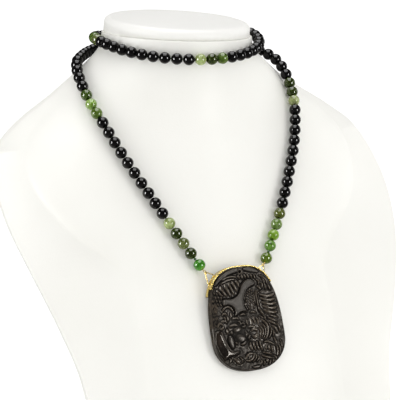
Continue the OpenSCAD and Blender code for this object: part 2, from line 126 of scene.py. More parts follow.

# %% [markdown]
# ## From points to pieces
#
# Every new piece is a mesh made from arrays of points and faces. One helper turns the arrays into an
# object, makes its normals point outwards, shades it smooth, hangs it on the frame's root body and hides
# the frame node that it stands for. A mask is a number, or a colour, that each point of the mesh carries
# for its material to read.

# %% Helper that makes a piece
def make_piece(name, points, faces, material, node, slot, masks=None):
    """A smooth mesh piece from points in millimetres."""
    mesh = bpy.data.meshes.new(name)
    mesh.from_pydata((np.asarray(points) * MM).tolist(), [], faces)
    for mask_name, values in (masks or {}).items():
        is_colour = np.ndim(values) > 1
        layer = mesh.attributes.new(mask_name, "FLOAT_COLOR" if is_colour else "FLOAT", "POINT")
        layer.data.foreach_set("color" if is_colour else "value", np.ravel(values).astype(np.float32))
    shell = bmesh.new()
    shell.from_mesh(mesh)
    bmesh.ops.recalc_face_normals(shell, faces=shell.faces)
    shell.to_mesh(mesh)
    shell.free()
    mesh.polygons.foreach_set("use_smooth", [True] * len(mesh.polygons))
    mesh.materials.append(material)
    piece = bpy.data.objects.new(name, mesh)
    bpy.context.scene.collection.objects.link(piece)
    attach(piece, "root")
    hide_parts(node)
    triangles = sum(len(face.vertices) - 2 for face in mesh.polygons)
    print(f"{name}: {len(mesh.vertices)} points, {triangles} triangles")
    return piece


def joined(parts):
    """Several (points, faces) parts as one."""
    points, faces, start = [], [], 0
    for part_points, part_faces in parts:
        points.append(part_points)
        faces += [[index + start for index in face] for face in part_faces]
        start += len(part_points)
    return np.concatenate(points), faces


# %% [markdown]
# Threads, wires and ropes are all tubes along a path. The only difficulty is the twist: each ring of the
# tube needs a direction to start from. A wire that is coiled or bent in a plane has a natural one, which
# is handed in. Otherwise the direction of the ring before is carried along and straightened a little.

# %% Helpers for grids and tubes
any_direction = [0.3, 0.2, 1.0]


def grid_faces(rows, columns, wrap_rows=False, wrap_columns=False):
    """Quads of a grid of points that is stored row by row."""
    faces = []
    for i in range(rows if wrap_rows else rows - 1):
        for j in range(columns if wrap_columns else columns - 1):
            here, below = i * columns, (i + 1) % rows * columns
            right = (j + 1) % columns
            faces.append([here + j, here + right, below + right, below + j])
    return faces


def ring_faces(rings, sides):
    """Quads of an open tube of rings, with one flat face on its first ring and one on its last."""
    ends = [list(range(sides)), list(range((rings - 1) * sides, rings * sides))]
    return grid_faces(rings, sides, wrap_columns=True) + ends


def carried_normals(tangents):
    """A direction square to each tangent, carried along the path so that it doesn't spin."""
    normal = unit(np.cross(tangents[0], any_direction))
    normals = []
    for tangent in tangents:
        normal = unit(normal - tangent * (normal @ tangent))
        normals.append(normal)
    return np.array(normals)


def path_tangents(path, closed=False):
    """The direction of a path at each of its points."""
    if closed:
        return unit(np.roll(path, -1, 0) - np.roll(path, 1, 0))
    return unit(np.vstack([path[1:], path[-1:]]) - np.vstack([path[:1], path[:-1]]))


def tube(path, radius, sides, normals=None, closed=False):
    """A round tube; an open one has flat ends."""
    tangents = path_tangents(path, closed)
    if normals is None:
        normals = carried_normals(tangents)
    normals = np.broadcast_to(normals, path.shape)
    normals = unit(normals - tangents * np.sum(normals * tangents, axis=1, keepdims=True))
    sideways = np.cross(tangents, normals)
    turn = 2 * np.pi * np.arange(sides)[:, None] / sides
    ring = np.cos(turn) * normals[:, None] + np.sin(turn) * sideways[:, None]
    points = (path[:, None] + radius * ring).reshape(-1, 3)
    if closed:
        return points, grid_faces(len(path), sides, wrap_rows=True, wrap_columns=True)
    return points, ring_faces(len(path), sides)


def evenly(path, spacing):
    """The same path with points at an even spacing."""
    steps = np.linalg.norm(np.diff(path, axis=0), axis=1)
    measured = np.concatenate([[0], np.cumsum(steps)])
    wanted = np.linspace(0, measured[-1], max(2, round(measured[-1] / spacing) + 1))
    return np.stack([np.interp(wanted, measured, path[:, k]) for k in range(3)], axis=1)


def twisted(path, strands, strand_radius, offset, pitch, spacing, sides):
    """Strands laid round a path as a rope, one turn for each pitch."""
    line = evenly(path, spacing)
    tangents = path_tangents(line)
    normals = carried_normals(tangents)
    sideways = np.cross(tangents, normals)
    turn = 2 * np.pi * np.arange(len(line)) * spacing / pitch
    parts = []
    for k in range(strands):
        angle = (turn + 2 * np.pi * k / strands)[:, None]
        outwards = np.cos(angle) * normals + np.sin(angle) * sideways
        parts.append(tube(line + offset * outwards, strand_radius, sides, outwards))
    return joined(parts)


print("helpers ready: grids, tubes and ropes")

# %% [markdown]
# ## Shader helpers
#
# A shader is a small net of nodes. `place` adds one node and sets or links its inputs in the same call,
# so that a material reads from top to bottom. `feed` links what was worked out to the shader. An effect
# that several materials share becomes a node group with named sockets, and `effect` places it. The groups
# only work out masks and heights. The Principled shader itself stays in each material, where its index of
# refraction is a plain number.

# %% Helpers for materials and node groups
def place(tree, kind, inputs=None, **settings):
    """Adds a node; an input that is given as a socket is linked, and any other is set."""
    made = tree.nodes.new(kind)
    for key, value in settings.items():
        setattr(made, key, value)
    for key, value in (inputs or {}).items():
        if isinstance(value, bpy.types.NodeSocket):
            tree.links.new(value, made.inputs[key])
        else:
            made.inputs[key].default_value = value
    return made


def new_material(name, **constants):
    """A material with its Principled shader, whose plain numbers are set from the call."""
    material = bpy.data.materials.new(name)
    material.use_nodes = True
    shader = material.node_tree.nodes["Principled BSDF"]
    for key, value in constants.items():
        shader.inputs[key.replace("_", " ")].default_value = value
    return material, material.node_tree, shader


def feed(tree, shader, **values):
    """Links what changes over the surface to the shader's inputs."""
    for key, value in values.items():
        tree.links.new(value, shader.inputs[key.replace("_", " ")])


def new_group(name, inputs, outputs):
    """A node group with a place and named numbers going in, and numbers coming out."""
    group = bpy.data.node_groups.new(name, "ShaderNodeTree")
    group.interface.new_socket("Place", in_out="INPUT", socket_type="NodeSocketVector")
    for label, value in inputs.items():
        socket = group.interface.new_socket(label, in_out="INPUT", socket_type="NodeSocketFloat")
        socket.default_value = value
    for label in outputs:
        group.interface.new_socket(label, in_out="OUTPUT", socket_type="NodeSocketFloat")
    return group, group.nodes.new("NodeGroupInput").outputs, group.nodes.new("NodeGroupOutput").inputs


def effect(tree, group, where, **sizes):
    """The outputs of a node group at a place, with its sizes in millimetres."""
    sizes = {key.replace("_", " "): size for key, size in sizes.items()}
    return place(tree, "ShaderNodeGroup", {"Place": where, **sizes}, node_tree=group).outputs


def math_node(tree, operation, first, second=0.0):
    """One sum on two values."""
    return place(tree, "ShaderNodeMath", {0: first, 1: second}, operation=operation).outputs[0]


def mixed(tree, share, first, second):
    """A colour between two colours."""
    return place(tree, "ShaderNodeMix", {0: share, 6: first, 7: second}, data_type="RGBA").outputs[2]


def ranged(tree, value, low, high, to_low=0.0, to_high=1.0):
    """A value mapped smoothly from one range to another."""
    return place(tree, "ShaderNodeMapRange", {
        "Value": value, "From Min": low, "From Max": high, "To Min": to_low, "To Max": to_high,
    }, interpolation_type="SMOOTHSTEP").outputs["Result"]


def between(tree, mask, at_zero, at_one):
    """A value that goes smoothly from one number to another as a mask goes from 0 to 1."""
    return ranged(tree, mask, 0, 1, at_zero, at_one)


def object_place(tree):
    """The place of a point on the object, in metres."""
    return place(tree, "ShaderNodeTexCoord").outputs["Object"]


def mask_of(tree, name, output="Fac"):
    """A mask that the mesh carries."""
    return place(tree, "ShaderNodeAttribute", attribute_name=name).outputs[output]


def bumped(tree, shader, height, depth):
    """Feeds a height from 0 to 1 to the shader as relief that is depth millimetres deep."""
    bump = place(tree, "ShaderNodeBump", {"Height": height, "Distance": depth * MM, "Strength": 1.0})
    feed(tree, shader, Normal=bump.outputs["Normal"])


print("helpers ready: nodes, groups and mixes")

# %% [markdown]
# ## Studio
#
# White goods are photographed in a white tent: even light from all round, with a tall soft box on each
# side, one overhead and a white board at the far right that lifts the shoulder there. The bust is lit
# mostly by the tent. Polished stone and gold mirror the boxes instead, as small bright windows against
# dark gaps, and a photograph exaggerates that. A Light Path node tells what kind of ray arrives, so the
# floor and the world can look white to the camera and dim to the stones.

# %% Floor
floor_size, floor_speckles = 8.0, 60.0
floor_white, floor_whiter = (0.93, 0.93, 0.93, 1), (0.96, 0.96, 0.95, 1)
floor_mirrored, floor_seen = (0.3, 0.3, 0.3, 1), 0.35

floor_material, tree, shader = new_material("studio_floor", Roughness=0.9, Specular_IOR_Level=0.0)
speckle = place(tree, "ShaderNodeTexNoise", {"Vector": object_place(tree), "Scale": floor_speckles})
shade = mixed(tree, speckle.outputs["Fac"], floor_white, floor_whiter)
ray = place(tree, "ShaderNodeLightPath")
two_faced = mixed(tree, ray.outputs["Is Glossy Ray"], shade, floor_mirrored)
glow = math_node(tree, "MULTIPLY", ray.outputs["Is Camera Ray"], floor_seen)
feed(tree, shader, Base_Color=two_faced, Emission_Color=shade, Emission_Strength=glow)

bpy.ops.mesh.primitive_plane_add(size=floor_size, location=(0, 0, cad_box[0][2]))
floor = bpy.context.object
floor.name = "floor"
floor.data.materials.append(floor_material)
floor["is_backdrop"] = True
print("floor:", floor_size, "m square")

# %% World
sky_seen, sky_light, sky_mirrored = 1.0, 0.84, 0.13

world = bpy.data.worlds.new("studio")
world.use_nodes = True
bpy.context.scene.world = world
sky = world.node_tree
ray = place(sky, "ShaderNodeLightPath")
dim = between(sky, ray.outputs["Is Glossy Ray"], sky_light, sky_mirrored)
strength = between(sky, ray.outputs["Is Camera Ray"], dim, sky_seen)
tent = sky.nodes["Background"]
tent.inputs["Color"].default_value = (1, 1, 1, 1)
sky.links.new(strength, tent.inputs["Strength"])
print("tent gives", sky_light, "and is mirrored at", sky_mirrored)

# %% [markdown]
# A lamp can be told only whether it lights and whether it is mirrored. So each soft box is two lamps in
# one place: one gives light and isn't mirrored, and the other one is only mirrored. The mirrored one
# stands a little nearer, because a ray passes only one of two lamps in a plane. A box is given by its
# brightness. Its power is that brightness times its area and pi.

# %% Soft boxes
soft_boxes = {
    # name: azimuth, elevation, distance, width, height in degrees and millimetres, light, shine
    "left_box": (-88, 6, 1300, 420, 760, 3.4, 22.0),
    "right_box": (30, 5, 1400, 400, 700, 3.6, 18.0),
    "reflector": (98, 12, 1400, 500, 700, 1.9, 2.0),
    "top_box": (-25, 92, 1000, 900, 1300, 0.45, 4.2),
}
shine_nearer = 20

for name, (azimuth, elevation, distance, width, height, light_given, shine) in soft_boxes.items():
    for suffix, radiance, nearer in (("light", light_given, 0), ("shine", shine, shine_nearer)):
        light = bpy.data.lights.new(f"{name}_{suffix}", "AREA")
        light.shape, light.size, light.size_y = "RECTANGLE", width * MM, height * MM
        light.energy = radiance * math.pi * light.size * light.size_y
        box = bpy.data.objects.new(f"{name}_{suffix}", light)
        box.visible_glossy = suffix == "shine"
        box.visible_diffuse = suffix == "light"
        aim(box, camera_target, math.radians(azimuth), math.radians(elevation), distance - nearer)
        print(box.name, "gives", round(light.energy, 1), "W")

# %% [markdown]
# A photograph presses its darkest tones together and leaves the others nearly as they are. That stretch of
# its tone curve is called the toe. The same curve is laid over the render.

# %% Toe of the tone curve
toe_points = ((0.03, 0.014), (0.1, 0.072), (0.3, 0.275))

view = bpy.context.scene.view_settings
view.view_transform = "Standard"
view.use_curve_mapping = True
tones = view.curve_mapping.curves[3]
for dark, pressed in toe_points:
    tones.points.new(dark, pressed)
view.curve_mapping.update()
print("toe:", ", ".join(f"{dark} to {pressed}" for dark, pressed in toe_points))

# %% [markdown]
# ## Shared effects
#
# Three effects are used by more than one finish, so each is a node group. `stone_clouds` draws the soft
# clouds and the small specks inside a stone. `polish_marks` draws the faint ripples and hairlines that
# polishing leaves on stone and gold. `leather_grain` draws the small pebbles pressed into leatherette.
# Sizes go in as millimetres, and a noise texture wants features per metre, so each group divides first.

# %% Stone clouds
def per_metre(tree, size, share=1.0):
    """Features per metre for a size in millimetres."""
    return math_node(tree, "DIVIDE", share / MM, size)


clouds_group, given, wanted = new_group(
    "stone_clouds", {"Size": 2.0, "Speck Size": 0.6}, ["Clouds", "Specks"])
wide = place(clouds_group, "ShaderNodeTexNoise", {
    "Vector": given["Place"], "Scale": per_metre(clouds_group, given["Size"]),
    "Detail": 5.0, "Roughness": 0.62, "Distortion": 0.8})
fine = place(clouds_group, "ShaderNodeTexNoise", {
    "Vector": given["Place"], "Scale": per_metre(clouds_group, given["Speck Size"]), "Detail": 2.0})
clouds_group.links.new(ranged(clouds_group, wide.outputs["Fac"], 0.3, 0.7), wanted["Clouds"])
clouds_group.links.new(ranged(clouds_group, fine.outputs["Fac"], 0.63, 0.72), wanted["Specks"])
print(clouds_group.name, "gives", ", ".join(wanted.keys()[:-1]))

# %% Polish marks
hairline_turn, hairline_squeeze, hairline_share = (0.5, 0.9, 0.3), (1, 1, 14), 0.35

marks_group, given, wanted = new_group("polish_marks", {"Size": 1.0}, ["Height", "Smudge"])
ripple = place(marks_group, "ShaderNodeTexNoise", {
    "Vector": given["Place"], "Scale": per_metre(marks_group, given["Size"]), "Detail": 3.0})
along = place(marks_group, "ShaderNodeMapping", {
    "Vector": given["Place"], "Rotation": hairline_turn, "Scale": hairline_squeeze}).outputs[0]
hairline = place(marks_group, "ShaderNodeTexNoise", {
    "Vector": along, "Scale": per_metre(marks_group, given["Size"]), "Detail": 4.0})
faint = math_node(marks_group, "MULTIPLY", hairline.outputs["Fac"], hairline_share)
marks_group.links.new(math_node(marks_group, "ADD", ripple.outputs["Fac"], faint), wanted["Height"])
marks_group.links.new(ranged(marks_group, ripple.outputs["Fac"], 0.35, 0.65), wanted["Smudge"])
print(marks_group.name, "gives", ", ".join(wanted.keys()[:-1]))

# %% Leather grain
warp_share, warp_by = 0.4, 0.4 * MM

grain_group, given, wanted = new_group("leather_grain", {"Size": 0.9}, ["Height", "Pores"])
warp = place(grain_group, "ShaderNodeTexNoise", {
    "Vector": given["Place"], "Scale": per_metre(grain_group, given["Size"], warp_share), "Detail": 2.0})
bent = place(grain_group, "ShaderNodeVectorMath", {
    0: warp.outputs["Color"], 1: (warp_by, warp_by, warp_by), 2: given["Place"]}, operation="MULTIPLY_ADD")
pebble = place(grain_group, "ShaderNodeTexVoronoi", {
    "Vector": bent.outputs[0], "Scale": per_metre(grain_group, given["Size"])}, feature="SMOOTH_F1")
grain_group.links.new(ranged(grain_group, pebble.outputs["Distance"], 0.75, 0.15), wanted["Height"])
grain_group.links.new(ranged(grain_group, pebble.outputs["Distance"], 0.5, 0.8), wanted["Pores"])
print(grain_group.name, "gives", ", ".join(wanted.keys()[:-1]))

# %% [markdown]
# ## The bust
#
# A display bust is a moulded shell with white leatherette stretched over it. The frame's bust is a loft
# with 52 flat sides. Its eye-catching place is the shoulder line against the white, where flat sides
# would show. The same sections are lofted here through many more points. A row of the table gives the
# half width at one height, how far the front, the widest line and the back lie back, and how square the
# front and the back are. A cubic curve between the rows keeps the shoulders flowing.

# %% Sections of the bust
neck_y, neck_z, lean_from, cap_lean = 66, 294.4, 276, math.radians(2.5)
section_round = 0.15
bust_rows = np.array([
    # height, half width, front, widest, back, front roundness, back roundness
    [0, 111, -67, -53, 61, 2.5, 1.6],
    [40, 117, -63, -49, 66, 2.4, 1.4],
    [80, 122, -52.6, -39, 72, 2.3, 1.4],
    [115, 135, -39.4, -26, 81, 2.15, 1.4],
    [150, 148, -21, -6, 93, 2, 1.5],
    [180, 154, -9, 19, 104, 1.8, 1.75],
    [205, 152, 0, 42, 113, 1.64, 2],
    [225, 142, 6, 58, 118, 1.52, 2.2],
    [240, 122, 9.5, 66, 119, 1.46, 2.2],
    [255, 97, 11.5, 70, 119, 1.48, 2],
    [270, 75, 12, 72, 119, 1.65, 1.85],
    [284, 57, 12.2, 68, 119, 1.9, 1.9],
    [neck_z, 53.4, 12.4, 66, 119.6, 2, 2],
])


def curve_through(rows, steps):
    """Cubic curve through the rows, which are spaced unevenly in their first column."""
    spans = np.vstack([rows[1:], rows[-1:]]) - np.vstack([rows[:1], rows[:-1]])
    slopes = spans / spans[:, :1]
    made = []
    for i in range(len(rows) - 1):
        h = rows[i + 1, 0] - rows[i, 0]
        for t in np.arange(steps) / steps:
            made.append(
                (2 * t**3 - 3 * t**2 + 1) * rows[i] + (t**3 - 2 * t**2 + t) * h * slopes[i]
                + (3 * t**2 - 2 * t**3) * rows[i + 1] + (t**3 - t**2) * h * slopes[i + 1])
    return np.array(made + [rows[-1]])


def section(row, angles):
    """One closed section of the bust; the upper ones lean sideways with the disc."""
    height, half, front, widest, back, n_front, n_back = row
    in_front = np.sin(angles) < 0
    n = np.where(in_front, n_front, n_back)
    deep = np.where(in_front, widest - front, back - widest)
    across = (np.cos(angles) ** 2 + section_round**2) ** (n / 2) / half**n
    inward = (np.sin(angles) ** 2 + section_round**2) ** (n / 2) / deep**n
    r = (across + inward) ** (-1 / n)
    x = r * np.cos(angles)
    drop = x * math.tan(cap_lean) * max(0, height - lean_from) / (neck_z - lean_from)
    return np.stack([x, widest + r * np.sin(angles), height - drop], axis=1)


bust_sides, bust_steps = 180, 9
bust_angles = 2 * np.pi * np.arange(bust_sides) / bust_sides
bust_curve = curve_through(bust_rows, bust_steps)
bust_points = np.concatenate([section(row, bust_angles) for row in bust_curve])
bust_faces = ring_faces(len(bust_curve), bust_sides)
print("bust sections:", len(bust_curve), "of", bust_sides, "points")

# %% [markdown]
# White leatherette isn't a flat white. It is a warm white with a very fine pebbled grain, the pores hold a
# little grey dust, and long soft variations come from the stretching. The grain is far too fine to model,
# so it is bump, two hundredths of a millimetre deep.

# %% Leatherette finish and the bust
grain_depth, dust_in_pores, stretch_marks = 0.02, 0.35, 9.0
bust_white, bust_dust = (0.892, 0.885, 0.842, 1), (0.855, 0.846, 0.797, 1)
sharpest_soft = math.radians(60)


def leatherette(name, colour, dusty, grain_size):
    """White leatherette with a pressed grain."""
    material, tree, shader = new_material(name, IOR=1.48, Sheen_Weight=0.12, Sheen_Roughness=0.5)
    here = object_place(tree)
    grain = effect(tree, grain_group, here, Size=grain_size)
    stretch = place(tree, "ShaderNodeTexNoise", {"Vector": here, "Scale": stretch_marks, "Detail": 3.0})
    tinted = mixed(tree, ranged(tree, stretch.outputs["Fac"], 0.25, 0.8), colour, dusty)
    shade = mixed(tree, math_node(tree, "MULTIPLY", grain["Pores"], dust_in_pores), tinted, dusty)
    feed(tree, shader, Base_Color=shade, Roughness=between(tree, grain["Height"], 0.62, 0.48))
    bumped(tree, shader, grain["Height"], grain_depth)
    return material


bust_material = leatherette("white_leatherette", bust_white, bust_dust, 0.8)
bust = make_piece("bust", bust_points, bust_faces, bust_material, "neck_bust", "bust_leather")
edges = bust.modifiers.new("crisp ends", "EDGE_SPLIT")
edges.split_angle = sharpest_soft

# %% [markdown]
# ## The padded disc
#
# The neck ends in a disc: a thin pad under the same leatherette, with a rounder top edge than a bare board
# has. A pad bulges, so the flat of the frame's disc gets a shallow crown, and where the leatherette is
# pulled under the rim it puckers a little. The disc is a profile turned round its axis. The crown is part
# of the profile, the puckers draw its radius in, and it is then leaned as the frame's disc is. Its
# underside fills nearly all of the crease above the neck.

# %% Disc
cap_r, cap_t, cap_edge, crease, crease_filled = 51, 9.5, 4.2, 0.4, 0.38
cap_forward = math.radians(2.8)
crown, foot_in, foot_up = 0.5, 0.12, 0.35
pucker, puckers, pucker_drift, drifts = 0.12, 46, 2, 5
cap_middle_r, cap_rings, cap_rim_rings, cap_sides = 2, 14, 9, 240

turned = 2 * np.pi * np.arange(cap_sides) / cap_sides
rim_angles = np.linspace(math.pi / 2, 0, cap_rim_rings)[1:]
flat_end = cap_r - cap_edge
flat_r = np.linspace(cap_middle_r, flat_end, cap_rings)
profile_r = np.concatenate([flat_r, flat_end + cap_edge * np.cos(rim_angles), [cap_r, cap_r - foot_in]])
profile_z = np.concatenate([
    crown * (1 - (flat_r / flat_end) ** 2), -cap_edge + cap_edge * np.sin(rim_angles),
    [-cap_t + foot_up, -cap_t]])
folds = 1 + np.cos(puckers * turned + pucker_drift * np.sin(drifts * turned))
ring_r = profile_r[:, None] - pucker * np.clip(-profile_z / cap_t, 0, 1)[:, None] * folds
ring_z = np.broadcast_to(profile_z[:, None], ring_r.shape)
disc_points = np.stack([ring_r * np.cos(turned), ring_r * np.sin(turned), ring_z], axis=-1)
print("disc:", len(profile_r), "rings of", cap_sides, "points")

# %% The disc in its place
forward = np.array(Matrix.Rotation(cap_forward, 3, "X"))
sideways_lean = np.array(Matrix.Rotation(cap_lean, 3, "Y"))
leaned = disc_points.reshape(-1, 3) @ forward.T
underside = -cap_t - crease_filled
leaned[-cap_sides:, 2] = underside
leaned[:, 2] = np.maximum(leaned[:, 2], underside)
disc_placed = (leaned + [0, 0, cap_t]) @ sideways_lean.T + [0, neck_y, neck_z + crease]

disc_white, disc_dust = (0.88, 0.873, 0.842, 1), (0.84, 0.833, 0.796, 1)
disc_material = leatherette("white_disc_leatherette", disc_white, disc_dust, 0.7)
disc_faces = ring_faces(len(profile_r), cap_sides)
disc = make_piece("disc", disc_placed, disc_faces, disc_material, "neck_cap", "cap_leather")

# %% [markdown]
# ## Where the beads are
#
# The frame already holds each bead in its place, so nothing is typed in again. All points of a bead lie on
# one sphere, and a sphere's centre comes out of a small linear equation. The centres are then put in
# order along the string, from the wearer's left end of it. Each step goes to the bead nearest to where
# the string is heading, so that it doesn't jump to the other strand where two of them pass.

# %% Bead centres
bead_d, bead_hole_d = 8, 1.8


def sphere_centres(node):
    """Centres in millimetres of the separate beads of a node."""
    shell = bmesh.new()
    shell.from_mesh(node.data)
    bmesh.ops.remove_doubles(shell, verts=shell.verts, dist=1e-6)
    seen, centres = set(), []
    for start in shell.verts:
        if start in seen:
            continue
        bead, waiting = [], [start]
        seen.add(start)
        while waiting:
            vert = waiting.pop()
            bead.append(vert.co)
            for neighbour in (edge.other_vert(vert) for edge in vert.link_edges):
                if neighbour not in seen:
                    seen.add(neighbour)
                    waiting.append(neighbour)
        points = np.array(bead) / MM
        system = np.hstack([2 * points, np.ones((len(points), 1))])
        centres.append(np.linalg.lstsq(system, np.sum(points**2, axis=1), rcond=None)[0][:3])
    shell.free()
    return np.array(centres)


black_centres = sphere_centres(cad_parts["black_beads"])
green_centres = sphere_centres(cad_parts["green_beads"])
loose = np.concatenate([black_centres, green_centres])
loose_green = np.arange(len(loose)) >= len(black_centres)
print(len(black_centres), "black beads and", len(green_centres), "green ones")

# %% Order along the string
# how much a place further left counts in finding the first bead, and the share of each step that the
# string is expected to carry on by
leftness, carried_on = 0.1, 0.8

at = int(np.argmin(loose[:, 2] - leftness * loose[:, 0]))
order, heading = [at], np.zeros(3)
while len(order) < len(loose):
    gaps = np.linalg.norm(loose - (loose[at] + heading), axis=1)
    gaps[order] = np.inf
    following = int(np.argmin(gaps))
    heading = carried_on * (loose[following] - loose[at])
    at = following
    order.append(at)
beads, is_green = loose[order], loose_green[order]
pitches = np.linalg.norm(np.diff(beads, axis=0), axis=1)
print("steps between beads:", pitches.min().round(2), "to", pitches.max().round(2), "mm")

# %% [markdown]
# ## One drilled bead
#
# A round bead is a ball with a hole drilled through it, and the rim of the hole is broken by a small
# chamfer so that it doesn't cut the thread. Turned round the drill's axis that is a closed outline: the
# outer arc, a chamfer, the wall of the hole, and a chamfer again. One such bead is made as a grid and
# copied to every place, turned along the string and each a hair smaller by its own amount, because no two
# real beads are alike.

# %% Bead shape and its copies
bead_chamfer, bead_sides, bead_arc_steps, smallest_bead = 0.16, 32, 18, 0.997


def bead_outline():
    """Distance from the drill's axis and height along it, once round the bead's section."""
    ball, hole = bead_d / 2, bead_hole_d / 2
    opening = math.asin((hole + bead_chamfer) / ball)
    arc = np.linspace(opening, math.pi - opening, bead_arc_steps)
    wall = ball * math.cos(opening) - bead_chamfer
    outline = np.stack([ball * np.sin(arc), ball * np.cos(arc)], axis=1)
    return np.vstack([outline, [[hole, -wall], [hole, 0], [hole, wall]]])


def bead_copies(chosen, colours=None):
    """The chosen beads as one mesh, with a random shift and a colour for each bead."""
    outline = bead_outline()
    around = 2 * np.pi * np.arange(bead_sides) / bead_sides
    ring = np.stack([np.cos(around), np.sin(around)], axis=1)
    flat = outline[:, None, :1] * ring[None]
    model = np.concatenate([flat, np.broadcast_to(outline[:, None, 1:], (*flat.shape[:2], 1))], axis=2)
    model = model.reshape(-1, 3)
    faces = grid_faces(len(outline), bead_sides, wrap_rows=True, wrap_columns=True)
    parts, shifts = [], []
    for k in chosen:
        along = unit(beads[min(k + 1, len(beads) - 1)] - beads[max(k - 1, 0)])
        turned = np.array(Vector(along).to_track_quat("Z", "Y").to_matrix())
        size = rng.uniform(smallest_bead, 1.0)
        parts.append((model @ turned.T * size + beads[k], faces))
        shifts.append(rng.uniform(0, 1))
    points, faces = joined(parts)
    masks = {"bead_shift": np.repeat(shifts, len(model))}
    if colours is not None:
        masks["bead_colour"] = np.repeat([(*colour, 1) for colour in colours], len(model), axis=0)
    return points, faces, masks


print("one bead:", len(bead_outline()) * bead_sides, "points")

# %% [markdown]
# ## Black jade
#
# Black jade takes the best polish of all. It is nearly black, with only a trace of brown clouds and greenish
# specks that a lamp brings out. Its look comes from its reflections, so roughness is very low and the
# ripples of hand polishing are kept to a few microns. Each bead moves the clouds by its own random amount,
# so that no two beads look alike.

# %% Black jade beads
bead_polish_marks, bead_ripple, most_shift = 2.2, 0.004, (0.31, 0.17, 0.23)
black, brownish, greenish = (0.0035, 0.003, 0.0034, 1), (0.009, 0.0077, 0.0078, 1), (0.02, 0.022, 0.016, 1)


def shifted_place(tree):
    """The place of a point, moved by its bead's own shift."""
    return place(tree, "ShaderNodeVectorMath", {
        0: mask_of(tree, "bead_shift"), 1: most_shift, 2: object_place(tree),
    }, operation="MULTIPLY_ADD").outputs[0]


black_jade, tree, shader = new_material("black_jade", IOR=1.48)
here = shifted_place(tree)
clouds = effect(tree, clouds_group, here, Size=5.0, Speck_Size=0.8)
marks = effect(tree, marks_group, here, Size=bead_polish_marks)
ground = mixed(tree, clouds["Clouds"], black, brownish)
specked = mixed(tree, clouds["Specks"], ground, greenish)
feed(tree, shader, Base_Color=specked, Roughness=between(tree, marks["Smudge"], 0.07, 0.13))
bumped(tree, shader, marks["Height"], bead_ripple)

points, faces, masks = bead_copies(np.flatnonzero(~is_green))
make_piece("black_jade_beads", points, faces, black_jade, "black_beads", "black_jade", masks)

# %% [markdown]
# ## Green jade
#
# The green beads were sorted by size, not by colour, so emerald, olive, grey and nearly black ones lie
# side by side. Each gets a tone by name. Jade lets light in: a pale bead glows on the side away from the
# lamp, and that is subsurface scattering with a depth of about a millimetre. Clouds lighten and darken
# the tone, and nearly black specks sit in some beads.

# %% Tones of the green beads
jade_tones = {
    "emerald": (0.055, 0.245, 0.01),
    "bluish": (0.125, 0.26, 0.035),
    "spring": (0.185, 0.32, 0.025),
    "steel": (0.155, 0.235, 0.065),
    "olive": (0.12, 0.19, 0.012),
    "moss": (0.105, 0.125, 0.022),
    "leaf": (0.11, 0.175, 0.028),
    "pine": (0.06, 0.098, 0.014),
    "forest": (0.045, 0.064, 0.01),
    "night": (0.036, 0.054, 0.006),
    "grey": (0.15, 0.178, 0.06),
    "mist": (0.33, 0.37, 0.165),
    "light": (0.255, 0.385, 0.095),
    "pale": (0.33, 0.4, 0.155),
}
tones_along_string = (
    "olive bluish spring steel moss  mist forest forest  leaf grey forest  pine leaf grey  "
    "pale forest leaf  "
    "forest grey spring  leaf light forest  pine light leaf  pale night grey night emerald"
).split()
print(len(tones_along_string), "green beads in", len(set(tones_along_string)), "tones")

# %% Green jade beads
speck_share, speck_black = 0.85, (0.008, 0.01, 0.004, 1)

green_jade, tree, shader = new_material(
    "green_jade", IOR=1.55, Coat_Weight=0.2, Coat_Roughness=0.04,
    Subsurface_Weight=0.55, Subsurface_Scale=0.0012, Subsurface_Radius=(0.7, 1.0, 0.45))
here = shifted_place(tree)
clouds = effect(tree, clouds_group, here, Size=4.5, Speck_Size=1.5)
marks = effect(tree, marks_group, here, Size=bead_polish_marks)
tone = mask_of(tree, "bead_colour", "Color")
lighter = place(tree, "ShaderNodeHueSaturation", {"Color": tone, "Value": 1.4, "Saturation": 0.85})
darker = place(tree, "ShaderNodeHueSaturation", {"Color": tone, "Value": 0.6, "Saturation": 1.1})
cloudy = mixed(tree, clouds["Clouds"], darker.outputs[0], lighter.outputs[0])
specked = mixed(tree, math_node(tree, "MULTIPLY", clouds["Specks"], speck_share), cloudy, speck_black)
feed(tree, shader, Base_Color=specked, Roughness=between(tree, marks["Smudge"], 0.08, 0.15))
bumped(tree, shader, marks["Height"], bead_ripple)

green_tones = [jade_tones[tone] for tone in tones_along_string]
points, faces, masks = bead_copies(np.flatnonzero(is_green), green_tones)
make_piece("green_jade_beads", points, faces, green_jade, "green_beads", "green_jade", masks)

# %% [markdown]
# ## Thread and knots
#
# Beads are strung on silk: two plies twisted together. At each end of the string the thread passes the
# last bead, turns back through it and is knotted between the last two beads. A knot of one thread has
# the form of a trefoil, which is three short waves round a circle, so a formula can tie it. The thread is
# drawn as two thin strands laid round the string's line, as it would be twisted.

# %% Thread
thread_d, ply_offset, thread_pitch, stub = 0.7, 0.15, 1.6, 0.35
knot_size, knot_wire_r, knot_depth, knot_upright = 0.25, 0.3, 1.3, [0.2, 0.9, 0.3]
dark_silk, light_silk = (0.012, 0.05, 0.012, 1), (0.05, 0.16, 0.04, 1)


def string_line():
    """The thread's line: out of the last hole at each end, and straight from bead to bead between."""
    reach = bead_d / 2 + stub
    first = beads[0] - unit(beads[1] - beads[0]) * reach
    final = beads[-1] + unit(beads[-1] - beads[-2]) * reach
    return np.vstack([first, beads, final])


def knot(middle, along):
    """A trefoil knot pulled tight round the thread."""
    t = np.linspace(0, 2 * np.pi, 90, endpoint=False)
    across = unit(np.cross(along, knot_upright))
    other = np.cross(along, across)
    path = middle + knot_size * (
        np.outer(np.sin(t) + 2 * np.sin(2 * t), across) + np.outer(np.cos(t) - 2 * np.cos(2 * t), other)
        - np.outer(knot_depth * np.sin(3 * t), along))
    return tube(path, knot_wire_r, sides=8, closed=True)


